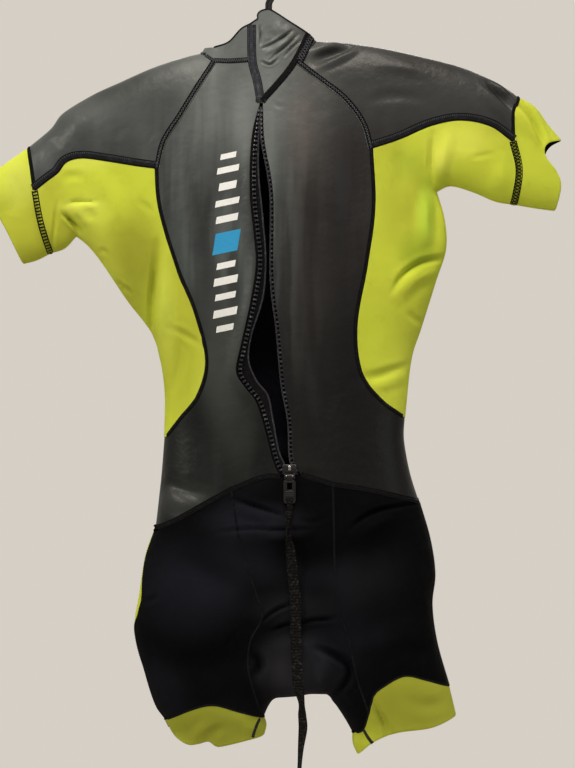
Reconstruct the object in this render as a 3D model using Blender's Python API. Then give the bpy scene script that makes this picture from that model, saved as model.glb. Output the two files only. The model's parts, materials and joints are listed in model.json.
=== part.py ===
"""A short-sleeved swimrun wetsuit that hangs on a moulded hanger, seen from its zip side.

The suit is a neoprene wall cut into panels. Two sheets, back and front, are laid over one flat
outline and lifted apart by a depth that falls to nothing on the outline's folds. Each panel is a
patch between four seam lines, shared node by node with its neighbours. Metres, +Z up, the back
faces -Y, and the origin is the seat inside the top of the hanger's hook.
"""

import math

import bmesh
import bpy
import numpy as np
from mathutils import Matrix, Vector

# Walls and clearances, in metres
MM = 0.001
GAP = 0.3 * MM
BODY_WALL = 3.0 * MM
SLEEVE_WALL = 2.2 * MM
TAPE_WALL = 0.8 * MM
ZIP_TAPE_WALL = 1.2 * MM
BINDING_LIFT = 1.0 * MM

# How far panels are held back from their seams and pointed ends, in millimetres
SEAM_HOLD = GAP / MM / 2
LEG_CUFF_HOLD = 0.5
FLAP_HOLD = 0.6
TIP_HOLD = 1.6

# Widths of the tapes sewn along seams, in millimetres
BINDING_WIDTH = 9.0
SLEEVE_TAPE_WIDTH = 9.0
COLLAR_TAPE_WIDTH = 6.0

# Outline, in millimetres as (x, z): the folds where back and front sheets meet
FOLDS = {
    "collar_left": [(-91, -126), (-95, -133)],
    "top_left": [(-95, -133), (-123, -140), (-165, -154), (-210, -174), (-249, -192), (-291, -218),
                 (-308, -240), (-339, -266)],
    "cuff_top_left": [(-339, -266), (-375, -291), (-406, -315)],
    "cuff_under_left": [(-347, -431), (-328, -426), (-308, -416)],
    "arm_left": [(-308, -416), (-288, -409), (-272, -392)],
    "flank_left": [(-272, -392), (-255, -406), (-235, -431), (-200, -483), (-168, -525),
                   (-153, -564), (-147, -616), (-148, -676)],
    "waist_left": [(-148, -676), (-153, -735), (-161, -805)],
    "hip_left": [(-161, -805), (-174, -841), (-183, -896), (-190, -948), (-178, -998),
                 (-162, -1051), (-147, -1074)],
    "leg_out_left": [(-147, -1074), (-137, -1092)],
    "leg_in_left": [(-6, -1096), (-3, -1082), (-6, -1070)],
    "crotch_left": [(-6, -1070), (3, -1051), (24, -1043), (45, -1042)],
    "crotch_right": [(45, -1042), (73, -1037), (91, -1049), (108, -1074), (118, -1092)],
    "leg_in_right": [(118, -1092), (119, -1109), (125, -1123)],
    "leg_out_right": [(265, -1068), (255, -1026)],
    "hip_right": [(255, -1026), (238, -966), (231, -913), (235, -868), (228, -819), (213, -767)],
    "waist_right": [(213, -767), (200, -724), (192, -679), (193, -648)],
    "flank_right": [(193, -648), (202, -567), (216, -522), (237, -455), (251, -410), (249, -368),
                    (238, -329)],
    "arm_right": [(238, -329), (258, -321), (290, -330), (321, -343), (346, -347)],
    "cuff_under_right": [(346, -347), (381, -353), (405, -356)],
    "cuff_top_right": [(414, -256), (395, -234), (377, -209), (353, -195)],
    "top_right": [(353, -195), (325, -176), (276, -154), (220, -139), (157, -125), (101, -118),
                  (66, -116)],
    "collar_right": [(66, -116), (61, -108)],
}

# The folds joined into the outline's five runs, each with the cloth on its left
FOLD_RUNS = (
    ("collar_left", "top_left", "cuff_top_left"),
    ("cuff_under_left", "arm_left", "flank_left", "waist_left", "hip_left", "leg_out_left"),
    ("leg_in_left", "crotch_left", "crotch_right", "leg_in_right"),
    ("leg_out_right", "hip_right", "waist_right", "flank_right", "arm_right", "cuff_under_right"),
    ("cuff_top_right", "top_right", "collar_right"),
)

# Seams on the sheets, in millimetres as (x, z)
SEAMS = {
    "collar_end_left": [(-95, -133), (-77, -146)],
    "collar_end_right": [(66, -116), (42, -148)],
    "collar_seam": [(-77, -146), (-53, -147), (-25, -145)],
    "neckline": [(-77, -146), (-46, -165), (-8, -174), (24, -165), (42, -148)],
    "raglan_left": [(-77, -146), (-95, -175), (-123, -221), (-147, -259), (-157, -298)],
    "under_left": [(-157, -298), (-186, -294), (-228, -287), (-266, -284), (-291, -297),
                   (-328, -329)],
    "side_left": [(-157, -298), (-155, -336), (-147, -375), (-126, -441), (-102, -500),
                  (-87, -567), (-98, -616), (-123, -648), (-144, -674)],
    "raglan_right": [(42, -148), (73, -172), (108, -200), (133, -234), (144, -270)],
    "under_right": [(144, -270), (185, -256), (227, -238), (269, -230), (311, -238), (343, -260)],
    "side_right": [(144, -270), (147, -350), (137, -430), (122, -518), (129, -584), (157, -623),
                   (189, -646)],
    "cuff_up_left": [(-339, -266), (-333, -297), (-328, -329)],
    "cuff_low_left": [(-328, -329), (-320, -372), (-308, -416)],
    "cuff_up_right": [(353, -195), (344, -222), (343, -260)],
    "cuff_low_right": [(343, -260), (352, -300), (346, -347)],
    "flap_left": [(-25, -94), (-24, -145), (-17, -175), (-11, -207)],
    "flap_right": [(58, -108), (49, -129), (31, -161), (-8, -207)],
    "zip_left": [(-11, -207), (-21, -245), (-25, -287), (-25, -343), (-20, -392), (-17, -434),
                 (-25, -487), (-39, -549), (-45, -584), (-32, -606), (-17, -626), (-4, -668),
                 (6, -707), (17, -731)],
    "zip_right": [(-8, -207), (-6, -259), (3, -308), (7, -350), (7, -455), (15, -525), (22, -602),
                  (31, -651), (34, -707), (45, -728)],
    "waist_out_left": [(-161, -805), (-130, -792), (-88, -769), (-52, -749)],
    "waist_in_left": [(-52, -749), (-8, -732), (17, -731)],
    "waist_middle": [(17, -731), (45, -728)],
    "waist_in_right": [(45, -728), (90, -742)],
    "waist_out_right": [(90, -742), (143, -750), (213, -767)],
    "seat_left": [(-52, -749), (-38, -830), (-17, -892), (-8, -923), (-25, -959), (-28, -998),
                  (-14, -1051), (-6, -1070)],
    "seat_right": [(90, -742), (95, -892), (113, -960), (123, -1009), (140, -1060)],
    "thigh_back_left": [(-158, -804), (-169, -841), (-177, -896), (-184, -948), (-173, -998),
                        (-158, -1050), (-143, -1072)],
    "thigh_front_left": [(-140, -880), (-121, -960)],
    "thigh_front_right": [(205, -880), (208, -960)],
    "front_centre": [(17, -731), (40, -880), (45, -1042)],
    "arch_left": [(-147, -1074), (-109, -1056), (-78, -1049), (-46, -1057), (-6, -1070)],
    "arch_in_right": [(118, -1092), (132, -1085), (140, -1060)],
    "arch_out_right": [(140, -1060), (146, -1037), (157, -1025), (189, -1008), (220, -1014),
                       (255, -1026)],
}

# Open hems, in millimetres as (x, z)
HEMS = {
    "cuff_left": [(-406, -315), (-388, -350), (-367, -388), (-347, -431)],
    "cuff_right_back": [(414, -256), (394, -262), (389, -273), (396, -287), (408, -312),
                        (405, -356)],
    "cuff_right_front": [(414, -256), (416, -290), (413, -325), (405, -356)],
    "leg_left": [(-137, -1092), (-126, -1100), (-109, -1105), (-64, -1109), (-6, -1096)],
    "leg_right": [(125, -1123), (147, -1102), (178, -1089), (227, -1082), (265, -1068)],
    "collar_back": [(-25, -94), (-39, -102), (-56, -120), (-77, -127)],
    "collar_turn_left": [(-77, -127), (-91, -126)],
    "collar_turn_front": [(-91, -126), (-77, -129)],
    "collar_front": [(-77, -129), (-40, -136), (-8, -139), (24, -130), (42, -117)],
    "collar_turn_right": [(42, -117), (61, -108)],
    "flap": [(-25, -94), (-17, -84), (-6, -74), (6, -76), (31, -92), (58, -108)],
}

# Half depths of the two sheets about the outline's plane, and how far in from a fold they round
# off, in millimetres: x, z, back, front, rounding
DEPTHS = (
    (0, -80, 12, 20, 48),
    (-10, -120, 24, 26, 50),
    (-10, -260, 40, 40, 60),
    (-180, -215, 27, 28, 52),
    (220, -190, 27, 28, 52),
    (-300, -330, 26, 26, 50),
    (-375, -370, 22, 24, 45),
    (320, -270, 26, 26, 50),
    (400, -300, 20, 22, 42),
    (-10, -430, 38, 36, 60),
    (20, -640, 30, 30, 60),
    (20, -800, 40, 34, 60),
    (40, -900, 58, 38, 62),
    (-110, -930, 44, 38, 58),
    (170, -930, 44, 38, 58),
    (50, -1010, 48, 34, 45),
    (-75, -1090, 32, 34, 50),
    (190, -1070, 32, 34, 50),
)
DEPTH_SPREAD = 75.0
SLOPE_STEP = 0.3
JUST_OUTSIDE = 2.0

# The largest folds in the cloth, in millimetres: sheet, x and z of both ends, half width, height
CREASES = (
    ("back", -40, -832, 84, -852, 22, -7),
    ("back", -52, -760, 20, -783, 9, -3),
    ("back", 174, -770, 115, -800, 10, -4),
    ("back", -160, -410, -165, -530, 10, -5),
    ("back", -151, -738, -88, -759, 10, -4),
    ("back", 224, -270, 226, -400, 13, -5),
    ("back", 59, -147, 120, -124, 10, -5),
    ("back", 185, -590, 124, -592, 9, -3),
    ("front", -60, -690, 90, -706, 14, -5),
    ("front", -40, -980, 80, -990, 18, -6),
    ("front", -150, -430, -130, -560, 12, -4),
    ("front", 190, -300, 200, -430, 12, -4),
)

# How many pieces each seam line is cut into
COUNTS = {
    "raglan": 7, "under": 7, "flank": 12, "waist": 4, "hip": 9, "cuff": 3, "leg": 2, "collar": 2,
    "collar_end": 4, "collar_seam": 7, "neckline": 10, "cuff_up": 4, "cuff_low": 5,
    "waist_out_left": 6, "waist_in_left": 3, "waist_middle": 1, "waist_in_right": 4,
    "waist_out_right": 5, "arch_left": 6, "arch_in": 2, "arch_out": 5, "crotch": 3, "flap": 7,
    "tip": 1, "thigh": 2,
}

# Zip, slider and pull tab, in millimetres
ZIP_TAPE_EDGE = [(-11, -207), (-14, -259), (-14, -308), (-8, -371), (-4, -427), (-8, -480),
                 (-24, -532), (-28, -567), (-17, -596), (-1, -617), (6, -651), (14, -693),
                 (22, -712)]
ZIP_TAPE_UNDER = 6.0
ZIP_LEFT_SHARE = 0.55
ZIP_RIGHT_SHARE = 0.3
ZIP_RIGHT_SHOWS = 4.0
ZIP_TOP = -212
ZIP_FOOT = -712
ZIP_STEPS = 20
FINE_STEPS = 200
SLIDER_AT = (29.5, -724)
SLIDER_SIZE = (20.0, 23.0, 3.2)
SLIDER_CLEAR = 0.8
LUG_SIZE = (2.0, 7.0, 6.0)
LUG_SPACING = 12.0
LUG_SUNK = 0.5
PIN_RADIUS = 1.2
PIN_DROP = 6.0
PIN_OUT = 7.6
BORE_CLEAR = 0.35
TAB_SIZE = (17.0, 38.0, 2.6)
TAB_TOP = 5.6
TAB_CLEAR = 1.2
TAB_WINDOW = (7.0, 10.0, -14.0)
TAB_SLOT = (9.0, 4.0, -32.5)
TAB_RIBS = (-21.5, -24.1, -26.7)
RIB_SIZE = (13.0, 3.8, 1.2)
HUB_RADIUS = 3.0
HUB_WIDTH = 8.6
STEM_OVERLAP = 1.0

# Leash: the height, sideways place, twist in degrees and width of the webbing, in millimetres
LEASH_STATIONS = (
    (-760, 30, 0, 7), (-771, 30, 0, 7), (-790, 28, 55, 13), (-812, 28, 66, 15),
    (-833, 31, 30, 15), (-868, 34, 12, 15), (-903, 38, 4, 15), (-938, 38, 0, 15),
    (-973, 39, -8, 15), (-1015, 41, -12, 15), (-1043, 46, -58, 15), (-1060, 47, -44, 15),
    (-1078, 48, -40, 15), (-1106, 45, -62, 15), (-1138, 43, -72, 15), (-1180, 42, -50, 15),
    (-1230, 43, -20, 15),
)
LEASH_THICKNESS = 1.5
LEASH_CLEAR = 1.2
LEASH_STEPS = 50

# Hanger, in millimetres
BAR_ENDS = (-238, 238)
BAR_UNDER_NECK = (-60, -30, 0, 30)
BAR_HEIGHT = 15.0
BAR_THICKNESS = 9.0
BAR_SIDES = 10
BAR_END_SHARE = 0.55
BAR_CLEAR = 0.3
HOOK_CLEAR = 0.35
HOOK_WIDTH = 10.0
HOOK_THICKNESS = 6.0
HOOK_GROOVE = 1.2
HOOK_RADIUS = 20.0
HOOK_STEM = 20.0
HOOK_NECK = [(0, -70), (1.5, -60)]
HOOK_TURN = (-58, 202, 11)
HOOK_STEPS = 26

# The hook's section in half widths and half depths: 2 is the floor of its groove
HOOK_SECTION = ((-1, -1), (-0.4, -1), (-0.3, -2), (0.3, -2), (0.4, -1), (1, -1),
                (1, 1), (0.4, 1), (0.3, 2), (-0.3, 2), (-0.4, 1), (-1, 1))

COLOURS = {
    "skin": (0.075, 0.078, 0.076, 0.42),
    "lime": (0.56, 0.68, 0.045, 0.75),
    "jersey": (0.008, 0.009, 0.013, 0.85),
    "tape": (0.010, 0.009, 0.012, 0.80),
    "plastic": (0.012, 0.012, 0.013, 0.38),
}


def smooth_points(points, per_span=16):
    """A Catmull-Rom curve through the points, finely sampled."""
    knots = np.array(points, float)
    padded = np.vstack([2 * knots[0] - knots[1], knots, 2 * knots[-1] - knots[-2]])
    steps = np.linspace(0, 1, per_span, endpoint=False)[:, None]
    spans = []
    for i in range(len(knots) - 1):
        a, b, c, d = padded[i:i + 4]
        spans.append(b + 0.5 * steps * (c - a) + steps ** 2 * (a - 2.5 * b + 2 * c - 0.5 * d)
                     + steps ** 3 * (1.5 * (b - c) + 0.5 * (d - a)))
    spans.append(knots[-1:])
    return np.vstack(spans)


def spacing(count, crowd):
    """Places from 0 to 1, crowded at the start, the end, both or neither."""
    turns = np.linspace(0, 1, count + 1)
    if crowd == "start":
        return 1 - np.cos(turns * math.pi / 2)
    if crowd == "end":
        return np.sin(turns * math.pi / 2)
    if crowd == "both":
        return (1 - np.cos(turns * math.pi)) / 2
    return turns


def line(points, count, crowd=None):
    """The nodes that cut a smooth curve into a number of pieces."""
    fine = smooth_points(points)
    along = np.concatenate([[0], np.cumsum(np.linalg.norm(np.diff(fine, axis=0), axis=1))])
    wanted = spacing(count, crowd) * along[-1]
    return np.column_stack([np.interp(wanted, along, fine[:, i]) for i in (0, 1)])


def joined(*lines):
    """Lines end to end, with each shared node once."""
    return np.vstack([lines[0]] + [following[1:] for following in lines[1:]])


def seam_nodes():
    """Every seam, fold and hem as its nodes."""
    count = COUNTS
    nodes = {}
    for side in ("left", "right"):
        top_rows = count["raglan"] + count["under"]
        flipped = side == "right"

        def fold(name, pieces):
            points = FOLDS[f"{name}_{side}"]
            return line(points[::-1] if flipped else points, pieces)

        nodes[f"top_{side}"] = fold("top", top_rows)
        nodes[f"arm_{side}"] = fold("arm", count["under"])
        nodes[f"flank_{side}"] = fold("flank", count["flank"])
        nodes[f"waist_{side}"] = fold("waist", count["waist"])
        nodes[f"hip_{side}"] = fold("hip", count["hip"])
        nodes[f"cuff_top_{side}"] = fold("cuff_top", count["cuff"])
        under_points = FOLDS[f"cuff_under_{side}"]
        nodes[f"cuff_under_{side}"] = line(under_points if flipped else under_points[::-1],
                                           count["cuff"])
        nodes[f"leg_out_{side}"] = fold("leg_out", count["leg"])
        leg_in = FOLDS[f"leg_in_{side}"]
        nodes[f"leg_in_{side}"] = line(leg_in if flipped else leg_in[::-1], count["leg"])
        nodes[f"collar_{side}"] = line(FOLDS[f"collar_{side}"][::1 if flipped else -1],
                                       count["collar"])
        nodes[f"crotch_{side}"] = line(FOLDS[f"crotch_{side}"], count["crotch"])
        for name, pieces in (("raglan", "raglan"), ("under", "under"), ("side", "flank")):
            nodes[f"{name}_seam_{side}"] = line(SEAMS[f"{name}_{side}"], count[pieces])
        nodes[f"collar_end_{side}"] = line(SEAMS[f"collar_end_{side}"], count["collar_end"], "start")
        nodes[f"cuff_up_{side}"] = line(SEAMS[f"cuff_up_{side}"], count["cuff_up"], "start")
        nodes[f"cuff_low_{side}"] = line(SEAMS[f"cuff_low_{side}"], count["cuff_low"], "end")
        nodes[f"seat_seam_{side}"] = line(SEAMS[f"seat_{side}"], count["hip"])
    body_rows = count["raglan"] + count["flank"] + count["tip"] + count["waist"]
    nodes["zip_left"] = line(SEAMS["zip_left"], body_rows - count["raglan"])
    nodes["zip_right"] = line(SEAMS["zip_right"], body_rows)
    nodes["flap_low_left"] = line(SEAMS["flap_left"][1:], count["raglan"])
    nodes["waist_out_left"] = line(SEAMS["waist_out_left"], count["waist_out_left"], "start")
    nodes["waist_in_left"] = line(SEAMS["waist_in_left"], count["waist_in_left"])
    nodes["waist_middle"] = line(SEAMS["waist_middle"], count["waist_middle"])
    nodes["waist_in_right"] = line(SEAMS["waist_in_right"], count["waist_in_right"])
    nodes["waist_out_right"] = line(SEAMS["waist_out_right"], count["waist_out_right"], "end")
    nodes["thigh_back_left"] = line(SEAMS["thigh_back_left"], count["hip"])
    nodes["front_centre"] = line(SEAMS["front_centre"], count["hip"])
    nodes["arch_left"] = line(SEAMS["arch_left"], count["arch_left"], "both")
    nodes["arch_in_right"] = line(SEAMS["arch_in_right"], count["arch_in"], "start")
    nodes["arch_out_right"] = line(SEAMS["arch_out_right"], count["arch_out"], "end")
    return nodes


def fold_runs(nodes):
    """The five runs of folds as polylines through the panels' own nodes."""
    runs = []
    for run in FOLD_RUNS:
        pieces = []
        for name in run:
            piece = nodes[name]
            start = np.array(FOLDS[name][0], float)
            if np.linalg.norm(piece[0] - start) > 1e-6:
                piece = piece[::-1]
            pieces.append(piece)
        runs.append(joined(*pieces))
    return runs


def distance_to_run(flat, run):
    """How far each point lies from a run of folds, below zero just outside it."""
    start = run[:-1][None]
    step = np.diff(run, axis=0)[None]
    offset = flat[:, None] - start
    share = np.clip((offset * step).sum(2) / (step ** 2).sum(2), 0, 1)
    away = offset - share[..., None] * step
    lengths = np.linalg.norm(away, axis=2)
    nearest = lengths.argmin(axis=1)
    rows = np.arange(len(flat))
    distance = lengths[rows, nearest]
    cross = (step[0, nearest, 0] * offset[rows, nearest, 1]
             - step[0, nearest, 1] * offset[rows, nearest, 0])
    outside = (cross < 0) & (distance < JUST_OUTSIDE)
    return np.where(outside, -distance, distance)


class Sheets:
    """The two sheets' depths over the flat outline, in millimetres."""

    def __init__(self, nodes):
        self.runs = fold_runs(nodes)
        self.depths = np.array(DEPTHS, float)

    def squared(self, flat, front):
        """The square of the depth, which crosses a fold smoothly."""
        table = self.depths
        apart = ((flat[:, None] - table[None, :, :2]) ** 2).sum(2)
        weights = np.exp(-apart / (2 * DEPTH_SPREAD ** 2)) + 1e-9
        weights /= weights.sum(1, keepdims=True)
        depth = weights @ table[:, 3 if front else 2]
        rounding = weights @ table[:, 4]
        for sheet, x0, z0, x1, z1, half_width, height in CREASES:
            if (sheet == "front") != front:
                continue
            step = np.array([x1 - x0, z1 - z0], float)
            offset = flat - (x0, z0)
            share = offset @ step / (step @ step)
            away = offset - np.clip(share, 0, 1)[:, None] * step
            depth += height * np.exp(-(away ** 2).sum(1) / half_width ** 2)
        fullness = np.ones(len(flat))
        for run in self.runs:
            share = np.minimum(distance_to_run(flat, run) / rounding, 1)
            fullness *= 1 - (1 - share) ** 2
        return depth ** 2 * fullness

    def lifted(self, flat, signs):
        """Points and outward normals of the sheets over flat points, in metres."""
        shape = flat.shape[:-1]
        points = flat.reshape(-1, 2)
        sign = np.broadcast_to(signs, shape).reshape(-1)
        height = np.zeros(len(points))
        normal = np.zeros((len(points), 3))
        step = SLOPE_STEP
        for front in (False, True):
            used = sign > 0 if front else sign <= 0
            here = points[used]
            if not len(here):
                continue
            level = np.maximum(self.squared(here, front), 0)
            slope = [(self.squared(here + np.array(move), front)
                      - self.squared(here - np.array(move), front)) / (2 * step)
                     for move in ((step, 0.0), (0.0, step))]
            height[used] = np.sqrt(level)
            normal[used, 0] = -slope[0]
            normal[used, 2] = -slope[1]
        normal[:, 1] = 2 * sign * height
        y = sign * (height + SEAM_HOLD)
        normal /= np.linalg.norm(normal, axis=1, keepdims=True)
        lifted = np.column_stack([points[:, 0], y, points[:, 1]]) * MM
        return lifted.reshape(*shape, 3), normal.reshape(*shape, 3)

    def depth_at(self, x, z, front=False):
        """The depth of one sheet over one flat point, in millimetres."""
        level = self.squared(np.array([[x, z]], float), front)[0]
        return math.sqrt(max(level, 0))


def patch(left, right, top, bottom):
    """A flat grid between four lines of nodes: rows run from top to bottom, columns left to right."""
    rows = np.linspace(0, 1, len(left))[:, None, None]
    columns = np.linspace(0, 1, len(top))[None, :, None]
    along_top = np.concatenate([[0], np.cumsum(np.linalg.norm(np.diff(top, axis=0), axis=1))])
    along_low = np.concatenate([[0], np.cumsum(np.linalg.norm(np.diff(bottom, axis=0), axis=1))])
    if along_top[-1] > 0 and along_low[-1] > 0:
        shares = ((1 - rows[:, :, 0]) * along_top[None] / along_top[-1]
                  + rows[:, :, 0] * along_low[None] / along_low[-1])
        columns = shares[:, :, None]
    across = (1 - columns) * left[:, None] + columns * right[:, None]
    down = (1 - rows) * top[None] + rows * bottom[None]
    corners = ((1 - rows) * ((1 - columns) * left[0] + columns * right[0])
               + rows * ((1 - columns) * left[-1] + columns * right[-1]))
    return across + down - corners


def held_back(flat, edges, amount=SEAM_HOLD):
    """The grid with its named seam edges drawn in, by half the gap or by another amount."""
    grid = flat.copy()
    ends = {"top": (0, 1, 0), "bottom": (-1, -2, 0), "left": (0, 1, 1), "right": (-1, -2, 1)}
    moves = np.zeros_like(grid)
    for edge in edges:
        first, second, axis = ends[edge]
        border = grid[first] if axis == 0 else grid[:, first]
        inner = grid[second] if axis == 0 else grid[:, second]
        tangent = np.gradient(border, axis=0)
        tangent /= np.maximum(np.linalg.norm(tangent, axis=1, keepdims=True), 1e-9)
        inward = inner - border
        inward -= (inward * tangent).sum(1, keepdims=True) * tangent
        inward /= np.maximum(np.linalg.norm(inward, axis=1, keepdims=True), 1e-9)
        if axis == 0:
            moves[first] += inward * amount
        else:
            moves[:, first] += inward * amount
    return grid + moves


def material(name, kind):
    """A plain material of one of the part's five finishes."""
    red, green, blue, roughness = COLOURS[kind]
    made = bpy.data.materials.new(name)
    made.use_nodes = True
    shader = made.node_tree.nodes["Principled BSDF"]
    shader.inputs["Base Color"].default_value = (red, green, blue, 1)
    shader.inputs["Roughness"].default_value = roughness
    made.diffuse_color = (red, green, blue, 1)
    return made


def add_object(name, mesh, kind, collection):
    """A named object with its own material, shaded smooth where it is round."""
    thing = bpy.data.objects.new(name, mesh)
    mesh.materials.append(material(name, kind))
    mesh.shade_smooth()
    mesh.set_sharp_from_angle(angle=math.radians(50))
    collection.objects.link(thing)
    return thing


def loft(name, sections, kind, collection):
    """A closed body through ring sections of equal point counts, capped at both ends."""
    mesh = bpy.data.meshes.new(name)
    shape = bmesh.new()
    loops = [[shape.verts.new(point) for point in section] for section in sections]
    width = len(loops[0])
    for first, second in zip(loops[:-1], loops[1:]):
        for i in range(width):
            after = (i + 1) % width
            shape.faces.new((first[i], first[after], second[after], second[i]))
    shape.faces.new(loops[0][::-1])
    shape.faces.new(loops[-1])
    bmesh.ops.recalc_face_normals(shape, faces=shape.faces)
    shape.to_mesh(mesh)
    shape.free()
    return add_object(name, mesh, kind, collection)


def wall(name, outer, inner, kind, collection, ring=False):
    """A closed wall between an outer and an inner grid: a ring closes across its columns."""
    mesh = bpy.data.meshes.new(name)
    shape = bmesh.new()
    rows, columns = outer.shape[:2]
    faces = [[[shape.verts.new(point) for point in row] for row in grid] for grid in (outer, inner)]
    across = columns if ring else columns - 1
    for grid, flip in zip(faces, (False, True)):
        for i in range(rows - 1):
            for j in range(across):
                k = (j + 1) % columns
                corners = (grid[i][j], grid[i][k], grid[i + 1][k], grid[i + 1][j])
                shape.faces.new(corners[::-1] if flip else corners)
    rims = [[(0, j) for j in range(columns)], [(rows - 1, j) for j in range(columns)]]
    if ring:
        rims = [rim + rim[:1] for rim in rims]
    else:
        rims += [[(i, 0) for i in range(rows)], [(i, columns - 1) for i in range(rows)]]
    for rim in rims:
        for (i, j), (k, m) in zip(rim[:-1], rim[1:]):
            shape.faces.new((faces[0][i][j], faces[0][k][m], faces[1][k][m], faces[1][i][j]))
    bmesh.ops.recalc_face_normals(shape, faces=shape.faces)
    shape.to_mesh(mesh)
    shape.free()
    return add_object(name, mesh, kind, collection)


def cloth(name, flat, signs, sheets, kind, collection, thickness=BODY_WALL, ring=False):
    """A panel's wall over its flat grid. Returns its outer points and normals."""
    outer, normal = sheets.lifted(flat, signs)
    wall(name, outer, outer - normal * thickness, kind, collection, ring)
    return outer, normal


def wrapped(back_grid, front_grid):
    """A grid that runs over a fold: its back columns up to the fold, then the front's, with signs."""
    flat = np.concatenate([back_grid, front_grid[:, 1:]], axis=1)
    signs = [-1] * (back_grid.shape[1] - 1) + [0] + [1] * (front_grid.shape[1] - 1)
    return flat, np.array(signs, float)


def upper_body(nodes, sheets, collection):
    """The grey back and front of the torso."""
    left_edge = joined(nodes["raglan_seam_left"], nodes["side_seam_left"],
                       np.array([nodes["side_seam_left"][-1], nodes["waist_left"][0]]),
                       nodes["waist_left"])
    right_edge = joined(nodes["raglan_seam_right"], nodes["side_seam_right"],
                        np.array([nodes["side_seam_right"][-1], nodes["waist_right"][0]]),
                        nodes["waist_right"])
    low_left = joined(nodes["waist_out_left"], nodes["waist_in_left"])
    low_right = joined(nodes["waist_in_right"], nodes["waist_out_right"])
    zip_edge = joined(nodes["flap_low_left"], nodes["zip_left"])
    top_left = line(SEAMS["collar_seam"], len(low_left) - 1)
    edges_left = fold_free(patch(left_edge, zip_edge, top_left, low_left), "left")
    cloth("back_left", edges_left, -1, sheets, "skin", collection)
    top_right = line(SEAMS["flap_right"][::-1][:-1] + [SEAMS["raglan_right"][0]],
                     len(low_right) - 1)
    edges_right = fold_free(patch(nodes["zip_right"], right_edge, top_right, low_right), "right")
    cloth("back_right", edges_right, -1, sheets, "skin", collection)
    low = joined(low_left, nodes["waist_middle"], low_right)
    top = line(SEAMS["neckline"], len(low) - 1)
    front = patch(left_edge, right_edge, top, low)
    front = held_back(front, ("top", "bottom"))
    front = drawn_from_side(front, "left")
    front = drawn_from_side(front, "right")
    cloth("front_body", front, 1, sheets, "skin", collection)


def drawn_from_side(flat, edge):
    """The grid drawn in along the part of a side edge that is a seam and not a fold."""
    seam_rows = COUNTS["raglan"] + COUNTS["flank"] + 1
    drawn = held_back(flat, (edge,))
    column = 0 if edge == "left" else -1
    result = flat.copy()
    result[:seam_rows, column] = drawn[:seam_rows, column]
    return result


def fold_free(flat, fold_edge):
    """A back panel's grid with its seams drawn in and the fold at its waist left alone."""
    other = "right" if fold_edge == "left" else "left"
    return drawn_from_side(held_back(flat, ("top", "bottom", other)), fold_edge)


def sides_and_sleeves(nodes, sheets, collection):
    """The grey shoulders, lime sides and lime cuffs. Returns each shoulder's points and normals."""
    shoulders = {}
    for side in ("left", "right"):
        path = joined(nodes[f"raglan_seam_{side}"], nodes[f"under_seam_{side}"])
        half = patch(nodes[f"top_{side}"], path, nodes[f"collar_end_{side}"],
                     nodes[f"cuff_up_{side}"])
        half = held_back(half, ("top", "bottom", "right"))
        flat, signs = wrapped(half[:, ::-1], half)
        shoulders[side] = cloth(f"shoulder_{side}", flat, signs, sheets, "skin", collection,
                                SLEEVE_WALL)
        seam = joined(nodes[f"under_seam_{side}"][::-1], nodes[f"side_seam_{side}"])
        edge = joined(nodes[f"arm_{side}"], nodes[f"flank_{side}"])
        tip = line([nodes[f"side_seam_{side}"][-1], nodes[f"flank_{side}"][-1]],
                   COUNTS["cuff_low"], "end")
        half = patch(seam, edge, nodes[f"cuff_low_{side}"], tip)
        half = held_back(half, ("top", "left"))
        half = held_back(half, ("bottom",), TIP_HOLD)
        flat, signs = wrapped(half, half[:, ::-1])
        cloth(f"side_{side}", flat, signs, sheets, "lime", collection, SLEEVE_WALL)
        cuff_seam = joined(nodes[f"cuff_up_{side}"], nodes[f"cuff_low_{side}"])
        halves = []
        for face in ("back", "front"):
            hem = HEMS["cuff_left"] if side == "left" else HEMS[f"cuff_right_{face}"]
            hem_nodes = line(hem, len(cuff_seam) - 1, "both")
            half = patch(nodes[f"cuff_top_{side}"], nodes[f"cuff_under_{side}"], cuff_seam,
                         hem_nodes)
            halves.append(held_back(half, ("top",)))
        tube(f"cuff_{side}", halves, sheets, "lime", collection)
    return shoulders


def tube(name, halves, sheets, kind, collection):
    """A tube from a back and a front half grid that share their two fold columns."""
    back, front = halves
    flat = np.concatenate([back, front[:, -2:0:-1]], axis=1)
    inside = back.shape[1] - 2
    signs = np.array([0] + [-1] * inside + [0] + [1] * inside, float)
    cloth(name, flat, signs, sheets, kind, collection, SLEEVE_WALL, ring=True)


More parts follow.
